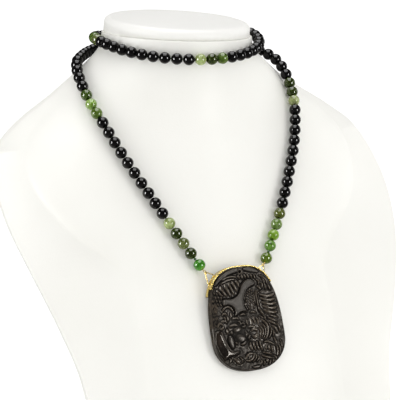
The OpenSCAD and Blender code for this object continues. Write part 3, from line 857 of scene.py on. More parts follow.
silk, tree, shader = new_material("green_silk", Sheen_Weight=0.3, Roughness=0.7)
fuzz = place(tree, "ShaderNodeTexNoise", {"Vector": object_place(tree), "Scale": 2600.0, "Detail": 3.0})
feed(tree, shader, Base_Color=mixed(tree, fuzz.outputs["Fac"], dark_silk, light_silk))
bumped(tree, shader, fuzz.outputs["Fac"], 0.03)

knots = [knot((beads[a] + beads[b]) / 2, unit(beads[b] - beads[a])) for a, b in [(0, 1), (-1, -2)]]
plies = twisted(
    string_line(), strands=2, strand_radius=thread_d / 2 - ply_offset, offset=ply_offset,
    pitch=thread_pitch, spacing=0.4, sides=6)
points, faces = joined([plies, *knots])
make_piece("thread", points, faces, silk, "thread", "thread")

# %% [markdown]
# ## The plaque
#
# The plaque is one flat stone, carved on its front in low relief: a winged beast with a mane, among
# clouds, round a smooth blank field. The frame has the same carving in coarse steps. Here the same strokes
# are drawn again on a grid fine enough for rounded ridges with sharp grooves between them. The carving is
# a height over the stone's own flat coordinates: across, up, and out from its back.

# %% The plaque's own coordinates and outline
plaque_w, plaque_up, plaque_down, plaque_mid, plaque_t = 52.8, 47.5, 22.5, -12.8, 5.3
round_up, round_down = 2.8, 2.25
plaque_at, plaque_lean, plaque_turn = (0, -41.3, 113.9), math.radians(19), math.radians(1.5)
plaque_place = (
    Matrix.Translation(plaque_at)
    @ Matrix.Rotation(math.pi / 2 - plaque_lean, 4, "X")
    @ Matrix.Rotation(plaque_turn, 4, "Z"))
plaque_axes, plaque_origin = np.array(plaque_place)[:3, :3], np.array(plaque_place)[:3, 3]


def from_plaque(points):
    """Plaque coordinates to the frame's own."""
    return np.asarray(points) @ plaque_axes.T + plaque_origin


def half_outline(y):
    """Roundness and height of the half of the outline that y is in."""
    return np.where(y > plaque_mid, round_up, round_down), np.where(y > plaque_mid, plaque_up, plaque_down)


def half_width_at(y):
    """Half the plaque's width at a height."""
    n, h = half_outline(y)
    return plaque_w / 2 * np.clip(1 - (np.abs(y - plaque_mid) / h) ** n, 0, None) ** (1 / n)


def edge_distance(x, y):
    """About how far a point is from the outline."""
    n, h = half_outline(y)
    share = ((np.abs(x) / (plaque_w / 2)) ** n + (np.abs(y - plaque_mid) / h) ** n) ** (1 / n)
    return (1 - share) * np.hypot(x, y - plaque_mid)


print("plaque:", plaque_w, "by", plaque_up + plaque_down, "by", plaque_t, "mm")

# %% [markdown]
# A carver draws the whole picture as strokes before cutting, and so does this table. Every stroke is a
# bend through three points, with a width and a height. Around the strokes lie a few smooth fields, drawn
# as outlines. The largest one is the blank field in the middle, where a carver shows the stone itself.

# %% Strokes of the carving
strokes = [
    # start across and up, middle, end, width, height
    # end of the crescent at the top, and the ridges under it
    (3.6, 32.8, 8, 32, 12.8, 30, 2.2, 1.2),
    (-16.5, 26.2, -10.5, 28.6, -3.5, 28.2, 1.2, 1.2),
    (-15, 24.6, -9, 26.9, -3.5, 26.3, 1, 0.9),
    # plumes fanning under the crescent
    (-18.5, 21.3, -17.6, 19, -15.3, 16.8, 1.2, 1.1),
    (-16, 23.2, -14.8, 19.8, -12.5, 16.2, 1.3, 1.2),
    (-12.9, 24.3, -11.6, 20.4, -9.6, 15.8, 1.3, 1.6),
    (-9.8, 25.1, -8.7, 21, -6.9, 16.7, 1.3, 1.5),
    (-6.9, 25.6, -6, 22.3, -4.6, 18.8, 1.4, 1.5),
    (-3.9, 26.2, -3.2, 24, -2.3, 21.4, 1.4, 1.4),
    # ridges down the top right edge
    (13.9, 27.3, 17.2, 24.6, 18.9, 20.6, 1.2, 1.3),
    (18.9, 20.6, 19.8, 18.8, 20.4, 17, 1.1, 1.1),
    (15.5, 25.5, 16.5, 23, 16.3, 20.5, 1, 0.9),
    (13.2, 22.8, 14.8, 21, 14.5, 18.8, 1, 0.9),
    (16.2, 21.8, 17, 19.8, 16.8, 17.8, 1, 0.9),
    (11.2, 24.8, 12.7, 23.4, 12.3, 21.4, 1, 0.9),
    (11, 20.2, 12.4, 19.4, 13.4, 17.6, 0.9, 0.8),
    # edge of the body beside the blank field, and the wing's long ridges
    (2.8, 18.6, 0.8, 15.2, 0.1, 11.3, 0.7, 0.9),
    (0.1, 11.3, 0.3, 8.4, 1.8, 5.6, 0.7, 0.8),
    (9.9, 17.6, 9.2, 12.5, 9.6, 6.5, 1, 1.7),
    (9.6, 6.5, 10.8, 3.3, 12.6, 0.2, 1, 1.6),
    (12.6, 0.2, 13.2, -1.2, 13.1, -2.6, 1, 1.3),
    (8.2, 16.8, 7.7, 12.5, 7.9, 8.5, 0.7, 1),
    (11.3, 17.6, 10.8, 14.8, 10.9, 12.6, 0.7, 0.8),
    # curls left of the blank field
    (-17.6, 6.2, -13, 9.4, -9, 5, 1, 1.7),
    (-11.6, 4.8, -11.3, 3.2, -12.3, 1.6, 1, 1.2),
    (-17.8, 4.2, -15.9, 4.9, -14.4, 3, 0.9, 1.4),
    (-14.4, 3, -13.9, 1.2, -14.6, -0.4, 0.9, 1.2),
    (-16.9, 2.6, -15.8, 1.4, -16.4, -0.3, 0.8, 1.1),
    (-19.5, -0.2, -16.8, 0, -14.9, -1.2, 0.9, 1.2),
    (-22.3, -3.6, -20.6, -1.3, -18.4, -2.9, 0.9, 1.4),
    (-18.4, -2.9, -19, -4.6, -20.9, -5, 0.9, 1.2),
    (-24.4, -6.8, -24, -8.5, -25, -11, 0.9, 0.9),
    (-11, 0.6, -8.4, 1.2, -6.2, 0.2, 1, 0.9),
    (-4.6, 2.6, -2.6, 3.2, -0.8, 2.4, 1, 0.7),
    (3.4, 3.4, 5.2, 3.6, 7, 2.8, 0.8, 0.8),
    # brow, eye and snout of the head
    (-13.6, -4, -10, -3.4, -7.8, -4.6, 1.2, 1.2),
    (-5, -3.6, -3.6, -3.1, -2.7, -4.4, 0.7, 1.5),
    (-2.7, -4.4, -3.2, -5.6, -4.6, -5.4, 0.7, 1.4),
    (-6.9, -1.4, -5.4, -2.4, -5.6, -4, 0.8, 1.1),
    (-16.3, -5.6, -15.9, -7, -16.1, -8.6, 1, 1.6),
    (-13.4, -7.4, -13, -8.4, -13.3, -9.4, 1, 1.4),
    (-7.6, -17, -5.6, -16.7, -3.7, -15.2, 1.2, 1.9),
    (-11, -14.8, -10.8, -15.5, -10.5, -16.2, 1, 1.3),
    (-3, -8.4, -2.4, -10.4, -3, -12.6, 0.8, 1.2),
    # ears and face of the body
    (1.7, -0.8, 2.3, -2.8, 1.6, -5, 1.1, 1.5),
    (4.4, 0.2, 4.7, -2, 4.8, -4.2, 1, 1.3),
    (6.7, -0.8, 7.3, -2.8, 7, -5, 1, 1.2),
    (-0.9, -1, -0.7, -3, -1, -5, 0.8, 1),
    (-0.6, -6.6, 2.2, -6, 5.2, -7, 0.9, 1.2),
    (0.6, -9.3, 3.6, -7.9, 5.4, -10.1, 1.3, 1.8),
    (1.8, -11.9, 3.3, -13.2, 5.2, -11.3, 1.5, 1.8),
    (-1.2, -10.6, -0.7, -12.4, -1.5, -14, 0.9, 1.2),
    # mane
    (10.2, -2.3, 13.6, -7.8, 11.2, -15.4, 1.4, 1.8),
    (8.8, -4.2, 11.6, -8.8, 9.6, -14.9, 0.9, 1.3),
    (7.4, -6, 9.7, -9.6, 8, -14.3, 0.9, 1.2),
    (6.4, -7.4, 7.9, -10.2, 6.3, -14.6, 0.8, 1.1),
    (9.3, 0.4, 13.6, -2.9, 15.9, -7.2, 0.8, 1.1),
    (16.2, -8.2, 15.6, -12.2, 13.6, -15.2, 0.8, 0.9),
    # slanting feathers at the right
    (16, 0.2, 19, -0.8, 22.5, -2.2, 0.8, 1),
    (15.5, -1.7, 18, -3, 21.4, -4.8, 0.9, 1.2),
    (15.2, -3.8, 17.6, -5, 20.6, -7.2, 0.9, 1.1),
    (17, -7.2, 19.3, -9.3, 20.2, -12.5, 0.9, 1.4),
    (17, -10, 17.6, -12, 16.8, -14.4, 0.8, 1),
    (20.8, -6, 22.2, -9, 22.4, -12, 0.8, 1),
    (17.2, -15, 18.2, -17.4, 18.2, -19.6, 0.8, 0.9),
    # tail, basket and waves at the lower right
    (9.4, -17.6, 12.4, -17.4, 16.6, -20.2, 0.9, 1.1),
    (10.6, -19.6, 10.2, -21, 10.3, -22.4, 0.8, 1),
    (12.6, -19.9, 12.3, -21.6, 12.6, -23.4, 0.9, 1.3),
    (14.6, -20.6, 14.3, -22.6, 14.6, -24.6, 0.9, 1.3),
    (17.6, -20.6, 18.5, -24, 17.6, -28, 0.8, 1.1),
    (19.7, -20, 20.5, -23.5, 19.2, -27.4, 0.8, 1),
    (21.8, -17.6, 22.3, -21, 21, -25, 0.8, 0.9),
    (7.4, -24, 10.5, -25.1, 14.5, -26.5, 0.8, 1),
    (6.3, -26, 9.6, -27.5, 13.4, -28.6, 1, 1.5),
    (15, -27, 16.4, -28.6, 16.8, -30.4, 0.8, 0.9),
    (9.4, -28.9, 9.6, -29.9, 9.6, -31, 1.6, 1.5),
    (5.4, -29.2, 5.2, -30.6, 4.4, -32, 0.9, 1.1),
    (7.2, -29.2, 7.3, -30.8, 6.8, -32.4, 0.8, 1),
    (12, -29.9, 11.6, -31.4, 10.8, -32.6, 0.9, 1),
    (14.3, -29.6, 14, -30.8, 13, -32, 0.8, 0.9),
    # eye-shaped ring and leaf at the bottom
    (-6.4, -26.9, -3.2, -23.8, 0.4, -24.9, 0.9, 2),
    (0.4, -24.9, -2.2, -27.9, -5.6, -28, 1, 2),
    (-4, -27, -3.4, -26.6, -2.8, -26.3, 1, 1.6),
    (2.2, -25, 1.6, -27.3, -1, -29.3, 0.9, 1.3),
    (3.9, -25.6, 3.5, -27.6, 2, -29.4, 0.8, 1.2),
    (-14, -25.6, -12.4, -27.5, -10.6, -29.4, 1.4, 1.6),
    (-17.6, -24.8, -16.7, -26.2, -17.2, -27.6, 0.8, 0.9),
    (-9.8, -25, -8.5, -27, -8.4, -29, 0.8, 0.9),
    (-1.2, -32.9, 1.4, -33.2, 4.2, -32.5, 1.1, 0.8),
]
# short teeth under the crescent
for x, y in ((-1.6, 29.4), (0.8, 29.3), (3, 29.2), (5.1, 29.1), (7.7, 28.8), (10, 28.2)):
    strokes.append((x, y, x + 0.2, y - 1.3, x + 0.7, y - 2.7, 0.9, 1.1))
# long feathers of the wing, with a fine line under each
for i in range(5):
    y = 14.6 - 2.65 * i
    strokes.append((12 + 0.3 * i, y, 17 + 0.2 * i, y - 1.9 - 0.1 * i, 22.6, y - 1 - 0.35 * i, 1.4, 1.8))
    strokes.append((13.4, y - 1.9, 15.6, y - 2.9, 17.6, y - 3.3, 0.3, 0.9))
# small scales at the upper left edge
for i in range(3):
    for j in range(4):
        x, y = -21.4 + 2 * i + 0.5 * j, 19.6 - 2.5 * j - 0.5 * i
        strokes.append((x, y, x + 0.6, y - 0.6, x + 0.4, y - 1.5, 0.6, 0.8))
# folds under the body
for i in range(4):
    strokes.append((-0.4 + 2.35 * i, -16.3, -0.8 + 2.35 * i, -18.9, 0.1 + 2.45 * i, -21.7 - 0.3 * i, 1, 1.4))
# small scales between the blank field and the wing
for i in range(3):
    for j in range(7):
        x, y = 3.1 + 1.7 * i - 0.25 * j * (2 - i), 17.6 - 1.9 * j + 0.5 * i
        strokes.append((x, y, x - 0.1, y - 0.5, x + 0.3, y - 1, 0.5, 0.7))
mounds = [
    # across, up, half length, half width, turn in degrees, height
    (-9.5, 20.5, 8.8, 5.6, 12, 0.8), (4.6, 12.5, 4.4, 7.6, -12, 0.6), (16.5, 8, 6.8, 10, 5, 0.8),
    (15.5, 23.5, 4.6, 6, 30, 0.6), (4, 28.5, 8, 2.2, 0, 0.4), (4.5, -8, 11, 8.8, -10, 1.0),
    (-9.5, -6.5, 7, 4.6, 8, 0.5), (-7.5, -14.5, 5.6, 4.8, 20, 0.5), (-14, 4.5, 5, 4.6, 0, 0.2),
    (-19.5, -2.5, 4, 4, 0, 0.5), (3.5, -19.5, 7, 4, 0, 0.6), (12.5, -21.5, 5.8, 4.6, -20, 0.7),
    (18.8, -8, 4.6, 8, 15, 0.6), (18.5, -23.5, 3.4, 6.4, -10, 0.4), (9.5, -29.6, 7.4, 3, 10, 0.5),
    (-2.5, -26, 5.6, 3.2, 12, 1.2), (-12.5, -27.5, 5, 2.6, -42, 0.5), (-22.5, 10, 3, 12, 0, 0.3),
    (-8.6, -6.8, 3.5, 2.0, 12, 1.2), (-6.6, -12.8, 4.1, 3.0, -20, 1.2),
]
rims = [
    # the rim between the shore and the head, in the same columns as the strokes
    (-20.1, -7.2, -18.7, -14.4, -15.4, -20, 1.1, 1.7),
    (-15.4, -20, -13.2, -21.7, -9.6, -21.4, 1, 1.7),
]
print(len(strokes), "strokes on", len(mounds), "mounds")

# %% [markdown]
# A carver first rounds the large forms and then cuts the lines into them. So a mound is a low dome, and
# each stroke stands on it. The height of a stroke falls from its middle line to its side by a power, high
# for flat tops and low for round ones, and both its width and height fade towards its ends, as a graver
# enters and leaves the stone. Where strokes meet, the higher one wins. A narrow groove runs along the
# outside of every stroke, because each form is undercut a little to make it stand out. A field rises from
# its outline with a rounded edge, found from the distance to the outline's sides.

# %% Outlines of the fields
fields = {
    # outline, height, width of the rounded edge, height of a fine lip along it
    "crescent": ([
        (-20.4, 24), (-18.6, 26.4), (-16, 28.9), (-13, 30.9), (-9.5, 32.5), (-5, 33.6), (-1.2, 33.9),
        (-1.2, 31.4), (-4, 31), (-8, 30.2), (-12, 28.6), (-15.5, 26.6), (-18.5, 24.2)], 1.4, 1.0, 0),
    "blank": ([
        (-15.3, 14.4), (-12.5, 14.1), (-9.8, 13.8), (-7.2, 14.3), (-5.2, 15.4), (-3.6, 17), (-2.4, 19.2),
        (-1.2, 21.6), (0.3, 23.4), (2.2, 24.9), (4.6, 25.8), (7, 25.4), (8.8, 24), (9.3, 22.4),
        (8.3, 21.3), (6, 20.7), (4, 19.8), (2.3, 18.4), (0.9, 16.6), (-0.1, 14.5), (-0.8, 12),
        (-1, 9.5), (-0.7, 7.2), (0, 5.6), (1.1, 4.2), (-1, 4.7), (-3, 4.9), (-4.8, 4.5), (-6.4, 3.5),
        (-8.6, 2.2), (-7.9, 4.6), (-8.3, 6.8), (-9.6, 8.8), (-11.5, 10.1), (-13.5, 10.5), (-15.4, 9.9),
        (-16, 11.2), (-15.5, 12.8)], 1.6, 0.7, 0.38),
    "shore": ([
        (-24.5, -6.5), (-22, -5.8), (-20.3, -6.8), (-19.6, -9.5), (-19, -12.5), (-18, -16), (-16.4, -19),
        (-14.5, -20.8), (-12, -21.4), (-9.5, -21.3), (-9.9, -22.8), (-13, -23.6), (-17, -23.8), (-19, -24.8),
        (-21, -25.6), (-24, -20), (-25.5, -14)], 1.3, 1.9, 0),
    "leaf": ([
        (-15.6, -10.4), (-13.8, -9.9), (-12.5, -11.4), (-12.1, -14.5), (-12.2, -17.2), (-13.3, -19),
        (-14.8, -18.6), (-15.9, -16.5), (-16.5, -13.5)], 1.1, 1.8, 0),
}
print("fields:", ", ".join(fields))

# %% Relief from mounds and strokes
stroke_steps, half_share, half_more = 6, 0.62, 0.34
narrowing, sinking, fade_power = 0.5, 0.45, 2.5
broad_stroke, round_power, flat_power = 1.35, 1.9, 2.8
groove_width, groove_gap = 0.3, 0.1


def bell(distance, width):
    """A smooth bump, one at the distance zero and nearly gone at two widths."""
    return np.exp(-((distance / width) ** 2))


def domes(x, y):
    """Height of the mounds, over arrays of points."""
    height = np.zeros(np.shape(x))
    for across, up, long, wide, turn, rise in mounds:
        c, s = math.cos(math.radians(turn)), math.sin(math.radians(turn))
        u, v = (x - across) * c + (y - up) * s, (y - up) * c - (x - across) * s
        height = np.maximum(height, rise * np.sqrt(np.clip(1 - (u / long) ** 2 - (v / wide) ** 2, 0, None)))
    return height


def line_distance(x, y, line):
    """Distance from a line of points and the share of the way along it, over arrays of points."""
    nearest, along = np.full(np.shape(x), np.inf), np.zeros(np.shape(x))
    for k, (a, b) in enumerate(zip(line[:-1], line[1:])):
        run = b - a
        s = np.clip(((x - a[0]) * run[0] + (y - a[1]) * run[1]) / (run @ run), 0, 1)
        gap = np.hypot(x - a[0] - s * run[0], y - a[1] - s * run[1])
        along = np.where(gap < nearest, (k + s) / (len(line) - 1), along)
        nearest = np.minimum(nearest, gap)
    return nearest, along


def raised(x, y, drawn):
    """Height of a set of strokes, with the grooves beside them."""
    height, grooves = np.zeros(np.shape(x)), np.zeros(np.shape(x))
    t = np.linspace(0, 1, stroke_steps + 1)[:, None]
    for stroke in drawn:
        start, middle, end = (np.array(stroke[k:k + 2]) for k in (0, 2, 4))
        width, top = stroke[6:]
        line = (1 - t) ** 2 * start + 2 * t * (1 - t) * (2 * middle - (start + end) / 2) + t**2 * end
        d, along = line_distance(x, y, line)
        fade = np.abs(2 * along - 1) ** fade_power
        half = (half_share * width + half_more) * (1 - narrowing * fade)
        power = round_power if width < broad_stroke else flat_power
        rise = top * (1 - sinking * fade) * np.clip(1 - (d / half) ** power, 0, None)
        height = np.maximum(height, rise)
        grooves = np.maximum(grooves, bell(d - half - groove_gap, groove_width))
    return height, grooves


print("strokes are bends of", stroke_steps, "steps")

# %% [markdown]
# Two more helpers finish the relief. To tell whether a point is inside a field, a ray is sent from it to
# the right: if it crosses the outline an odd number of times, the point is inside. And no hand-cut ground is
# quite flat, so random heights on a wide lattice are joined by smooth curves to make low lumps.

# %% Insides and lumps
def inside_distance(x, y, outline):
    """Distance from an outline, positive inside it and negative outside."""
    line = np.array(outline + outline[:1])
    crossings = np.zeros(np.shape(x), dtype=int)
    for a, b in zip(line[:-1], line[1:]):
        level = (a[1] > y) != (b[1] > y)
        crossings += level & (x < a[0] + (b[0] - a[0]) * (y - a[1]) / (b[1] - a[1] + 1e-12))
    return np.where(crossings % 2, 1, -1) * line_distance(x, y, line)[0]


def lumps(u, v, size):
    """Smooth random heights from -1 to 1 with features of one size."""
    u, v = (u - np.min(u)) / size, (v - np.min(v)) / size
    lattice = rng.uniform(-1, 1, (int(np.max(u)) + 2, int(np.max(v)) + 2))
    i, j = u.astype(int), v.astype(int)
    s, t = u - i, v - j
    s, t = s * s * (3 - 2 * s), t * t * (3 - 2 * t)
    return (lattice[i, j] * (1 - s) * (1 - t) + lattice[i + 1, j] * s * (1 - t)
            + lattice[i, j + 1] * (1 - s) * t + lattice[i + 1, j + 1] * s * t)


print("helpers ready: fields and lumps")

# %% [markdown]
# The face is a grid of rows and columns. Both crowd towards the edge, where the stone is rounded over.
# Mounds and strokes go on first. The fields then push through them, each with a groove round its outline.

# %% Grid of the face, with strokes and fields
face_rows, face_columns, even_rows, crowded_rows, row_reach = 290, 230, 0.55, 0.45, 0.996
stroke_share, field_soft, lip_at, lip_w, field_groove = 0.75, 0.5, 0.6, 0.45, 0.35

s = np.linspace(-1, 1, face_rows + 1)
eased = even_rows * s + crowded_rows * np.sin(np.pi / 2 * s)
row_y = plaque_mid + row_reach * np.where(eased > 0, plaque_up, plaque_down) * eased
face_y = np.repeat(row_y[:, None], face_columns + 1, axis=1)
face_x = half_width_at(face_y) * np.sin(np.pi / 2 * np.linspace(-1, 1, face_columns + 1))
to_edge = edge_distance(face_x, face_y)

height, grooves = raised(face_x, face_y, strokes)
height = stroke_share * height + domes(face_x, face_y)
smooth = {}
for name, (outline, rise, edge, lip) in fields.items():
    d = inside_distance(face_x, face_y, outline)
    before_flat = np.clip(1 - d / edge, 0, 1)
    field = rise * np.sqrt(np.clip(1 - before_flat**2, 0, 1)) + lip * bell(d - lip_at, lip_w)
    smooth[name] = np.clip(d / field_soft, 0, 1)
    height = np.where(d > 0, np.maximum(field, height * (1 - smooth[name])), height)
    grooves = np.maximum(grooves * (1 - smooth[name]), bell(d + field_groove, groove_width))
plain = np.maximum.reduce(list(smooth.values()))
print("face:", face_x.size, "points; smooth share:", plain.mean().round(2))

# %% [markdown]
# The carver then sinks the shore towards the left edge, leaves a rim beside it and a low border all round,
# and cuts the grooves, deepest where the ground is low. What is left of the ground keeps tool marks, and the
# rind at the upper left is pitted. Last come the drilled hole and the rounded edge.

# %% Shore, border, grooves, rind and edge
shore_slope, shore_left, border_h, border_w, border_soft = 0.12, -18, 0.25, 1.2, 0.5
groove_depth, groove_top, rough_top, least_rough = 0.45, 1.6, 1.2, 0.25
rind_right, rind_bottom, rind_fade = -18.5, -6, 3
mark_h, mark_size, swell_h, swell_size = 0.12, 0.8, 0.18, 2.6
pit_h, pit_size, hump_h, hump_size = 0.6, 0.8, 0.35, 1.5
edge_r, plaque_hole_d, hole_depth, hole_at = 1.3, 2.0, 1.8, (0.5, 31.5)

rim_height = raised(face_x, face_y, rims)[0]
height -= smooth["shore"] * shore_slope * np.clip(shore_left - face_x, 0, None)
height = np.maximum(height, rim_height)
border = np.clip((border_w - to_edge) / border_soft, 0, 1)
height = np.maximum(height, border_h * border)
height -= groove_depth * grooves * np.clip(groove_top - height, 0, 1)
rind_on_face = np.clip((rind_right - face_x) / rind_fade, 0, 1)
rind_on_face *= np.clip((face_y - rind_bottom) / rind_fade, 0, 1)
low_ground = np.clip(rough_top - height, least_rough, 1)
tool_marks = mark_h * lumps(face_x, face_y, mark_size) + swell_h * lumps(face_x, face_y, swell_size)
pits = pit_h * np.clip(lumps(face_x, face_y, pit_size), 0, 1) + hump_h * lumps(face_x, face_y, hump_size)
height += (tool_marks * low_ground - rind_on_face * pits) * (1 - plain) * (1 - border)
height -= hole_depth * (np.hypot(face_x - hole_at[0], face_y - hole_at[1]) < plaque_hole_d / 2)
near_edge = np.clip(1 - to_edge / edge_r, 0, 1)
face_z = plaque_t + height - edge_r * (1 - np.sqrt(1 - near_edge**2))
print("relief from", height.min().round(2), "to", height.max().round(2), "mm")

# %% [markdown]
# Five masks go with the points of the face: the rind, the satin fields, the mirror-polished shore, how deep
# a point lies among the others, and the crests. How far a point stands out is its height less the mean
# height round it. The undercut head is harder to polish, so it stays dull. It and the deep points are also
# darkened as painted shade, and the crests are lightened as a painted highlight.

# %% Masks of the face
blur_reach, tinted_gain, undercut_fade, mirror_left = 4, 2.2, 3, -17.5
head_at, head_w, head_h = (-6, -9.5), 10, 9.5
satin_above, crescent_satin, leaf_satin, rim_satin = 0.6, 0.9, 0.5, 0.6
level_hollow, sunk_gain, undercut_hollow, undercut_untinted = 0.55, 0.8, 0.4, 0.7


def blurred(values, reach):
    """Mean over a square neighbourhood, done along rows and then along columns."""
    window = np.ones(2 * reach + 1) / (2 * reach + 1)
    padded = np.pad(values, reach, mode="edge")
    padded = np.apply_along_axis(lambda line: np.convolve(line, window, "valid"), 0, padded)
    return np.apply_along_axis(lambda line: np.convolve(line, window, "valid"), 1, padded)


crescent_end = raised(face_x, face_y, strokes[:1])[0]
crescent = np.maximum(smooth["crescent"], np.clip(crescent_end / satin_above, 0, 1))
satin_on_face = np.maximum.reduce([
    np.clip(2 * smooth["blank"] - 1, 0, 1), crescent_satin * crescent, leaf_satin * smooth["leaf"],
    rim_satin * np.clip(rim_height, 0, 1)])
mirror_on_face = smooth["shore"] * np.clip(1 - 2 * rim_height, 0, 1) * np.clip(mirror_left - face_x, 0, 1)
standing = height - blurred(height, blur_reach)
from_head = np.hypot((face_x - head_at[0]) / head_w, (face_y - head_at[1]) / head_h)
undercut = np.clip(undercut_fade - undercut_fade * from_head, 0, 1) * (1 - plain)
lowness = level_hollow - height / 2 - sunk_gain * standing
# painted shade: this mask darkens the deep points and the undercut head, and it also makes them duller
shade_and_dullness_on_face = np.clip(lowness + undercut_hollow * undercut, 0, 1)
# painted highlight: crests that stand out are lightened, and less so on the undercut head
crest_highlight_on_face = np.clip(tinted_gain * standing, 0, 1) * (1 - plain) * (1 - undercut_untinted * undercut)
print("hollow share:", shade_and_dullness_on_face.mean().round(2), "and crests:", crest_highlight_on_face.mean().round(2))

# %% [markdown]
# The side wall starts as the points of the face's edge, taken once round. Each ring below repeats that loop
# lower down and, where the left wall keeps the stone's brown rind, pressed in by pits. The pits are lumps
# again, measured along the wall and down it, and they fade towards the foot, where the rind is polished
# away. The last rings go in over a bevel and shrink across the plain back, and one face closes them.

# %% Walls and back
wall_steps, back_steps, back_bevel, back_reach = 12, 6, 1.0, 0.93
rim_step, wall_step, fine_pit, wide_pit, wide_share, pit_start = 0.24, 0.5, 0.8, 1.9, 0.7, 0.15
left_gain, left_start, polished_below, polish_fade, least_rind = 2.6, 0.25, -18, 8, 0.15
wall_dark, back_dark, back_rind = 0.25, 0.3, 0.3

index = np.arange(face_z.size).reshape(face_z.shape)
rim_index = np.concatenate([index[0, :-1], index[:-1, -1], index[-1, :0:-1], index[:0:-1, 0]])
face_points = np.stack([face_x, face_y, face_z], axis=-1).reshape(-1, 3)
rim_points = face_points[rim_index]
from_middle = rim_points[:, :2] - [0, plaque_mid]
ring = len(rim_index)

on_left = np.clip(-rim_points[:, 0] / plaque_w * left_gain - left_start, 0, 1)
rind_side = on_left * np.clip((rim_points[:, 1] - polished_below) / polish_fade, least_rind, 1)
run, level = np.meshgrid(np.arange(ring) * rim_step, np.arange(wall_steps + 1) * wall_step)
wall_pits = np.clip(lumps(run, level, fine_pit), 0, 1)
wall_pits = wall_pits + wide_share * np.clip(lumps(run, level, wide_pit), 0, 1)
walls, wall_rind, wall_shade_and_dullness = [], [], []
for k in range(1, wall_steps + 1):
    depth = k / wall_steps
    sunk = wall_pits[k] * rind_side * math.sin(math.pi * min(1, pit_start + depth))
    xy = from_middle * (1 - sunk / np.linalg.norm(from_middle, axis=1))[:, None] + [0, plaque_mid]
    walls.append(np.column_stack([xy, rim_points[:, 2] * (1 - depth) + back_bevel * depth]))
    wall_rind.append(rind_side)
    # painted shade: the wall, and its pits more, are darkened and dulled through the same mask as the
    # hollows
    wall_shade_and_dullness.append(np.clip(wall_dark + wall_pits[k] * rind_side, 0, 1))
for k in range(back_steps):
    inset = 1 - 2 * back_bevel / plaque_w - back_reach * k / (back_steps - 1)
    walls.append(np.column_stack([from_middle * inset + [0, plaque_mid], np.zeros(ring)]))
    wall_rind.append(back_rind * rind_side)
    # painted shade: the back is darkened a little through the same mask
    wall_shade_and_dullness.append(np.full(ring, back_dark))
print("wall and back:", len(walls), "rings of", ring, "points")

# %% Faces and masks of the whole plaque
def face_only(values):
    """A mask of the face, with zeros for the wall and the back."""
    return np.concatenate([values.ravel(), np.zeros(ring * len(walls))])


rings = np.vstack([rim_index, len(face_points) + np.arange(ring * len(walls)).reshape(-1, ring)])
upper, lower = rings[:-1], rings[1:]
quads = np.stack([upper, np.roll(upper, -1, axis=1), np.roll(lower, -1, axis=1), lower], axis=-1)
plaque_faces = grid_faces(*face_z.shape) + quads.reshape(-1, 4).tolist() + [rings[-1].tolist()]
plaque_points = from_plaque(np.vstack([face_points, *walls]))
masks = {
    "rind": np.concatenate([rind_on_face.ravel(), *wall_rind]),
    "satin": face_only(satin_on_face),
    "mirror": face_only(mirror_on_face),
    "shade_and_dullness": np.concatenate([shade_and_dullness_on_face.ravel(), *wall_shade_and_dullness]),
    "crest_highlight": face_only(crest_highlight_on_face),
}
print("masks:", ", ".join(masks))

# %% [markdown]
# The stone is black-brown with soft clouds. Its plain fields are left satin, its ridges are polished, and
# the hollows, which no polisher reaches, stay dull. One material does all of this: the masks mix in the
# colours of their places, with painted shade in the hollows, a painted highlight on the crests and a satin
# grey that is partly painted reflection, and then they say how dull and how bright each place is.

# %% Carved jade and the plaque
stone_dark, stone_light = (0.014, 0.011, 0.0092, 1), (0.036, 0.027, 0.021, 1)
rind_dark, rind_light, rind_speck = (0.012, 0.009, 0.0065, 1), (0.06, 0.044, 0.029, 1), (0.24, 0.2, 0.14, 1)
satin_grey_and_reflection, painted_shade_black = (0.03, 0.027, 0.025, 1), (0.007, 0.0055, 0.0045, 1)
crest_highlight_brown = (0.085, 0.069, 0.053, 1)

carved_jade, tree, shader = new_material("carved_jade", IOR=1.62, Specular_Tint=(1, 0.94, 0.86, 1))
here = object_place(tree)
clouds = effect(tree, clouds_group, here, Size=9.0, Speck_Size=1.3)
marks = effect(tree, marks_group, here, Size=1.6)
body = mixed(tree, clouds["Clouds"], stone_dark, stone_light)
# partly painted reflection: the satin fields are a lighter grey, partly as frosted stone scatters light and
# partly standing in for the light box they mirror
satin = mixed(tree, mask_of(tree, "satin"), body, satin_grey_and_reflection)
rind = mixed(tree, clouds["Clouds"], rind_dark, rind_light)
rind = mixed(tree, clouds["Specks"], rind, rind_speck)
skin = mixed(tree, mask_of(tree, "rind"), satin, rind)
# painted shade: the hollows and the undercut head are darkened towards black
shaded = mixed(tree, ranged(tree, mask_of(tree, "shade_and_dullness"), 0.1, 0.8), skin, painted_shade_black)
# painted highlight: the crests are tinted a lighter brown
tinted = mixed(tree, mask_of(tree, "crest_highlight"), shaded, crest_highlight_brown)
polish = between(tree, mask_of(tree, "satin"), 0.25, 0.54)
mirror = math_node(tree, "MULTIPLY", mask_of(tree, "mirror"), -0.16)
unpolished = math_node(tree, "MAXIMUM", mask_of(tree, "rind"), mask_of(tree, "shade_and_dullness"))
dull = between(tree, unpolished, 0, 0.4)
smudge = math_node(tree, "MULTIPLY", marks["Smudge"], 0.08)
roughness = math_node(
    tree, "ADD", math_node(tree, "ADD", polish, mirror), math_node(tree, "ADD", dull, smudge))
gloss = between(tree, unpolished, 0.5, 0.24)
feed(tree, shader, Base_Color=tinted, Roughness=roughness, Specular_IOR_Level=gloss)
bumped(tree, shader, marks["Height"], 0.012)
make_piece("carved_plaque", plaque_points, plaque_faces, carved_jade, "pendant", "plaque_jade", masks)

# %% [markdown]
# ## The gold mount
#
# The mount is one soldered piece. A plain gold strip bends over the top of the stone, a twisted wire is
# soldered along each of its edges, a bar ends each side, and behind the strip stand two small triangular
# wire loops. The strip follows the plaque's outline at a set distance, so its points come from the same
# outline formula, a little enlarged. Its section is a bar with rounded corners.

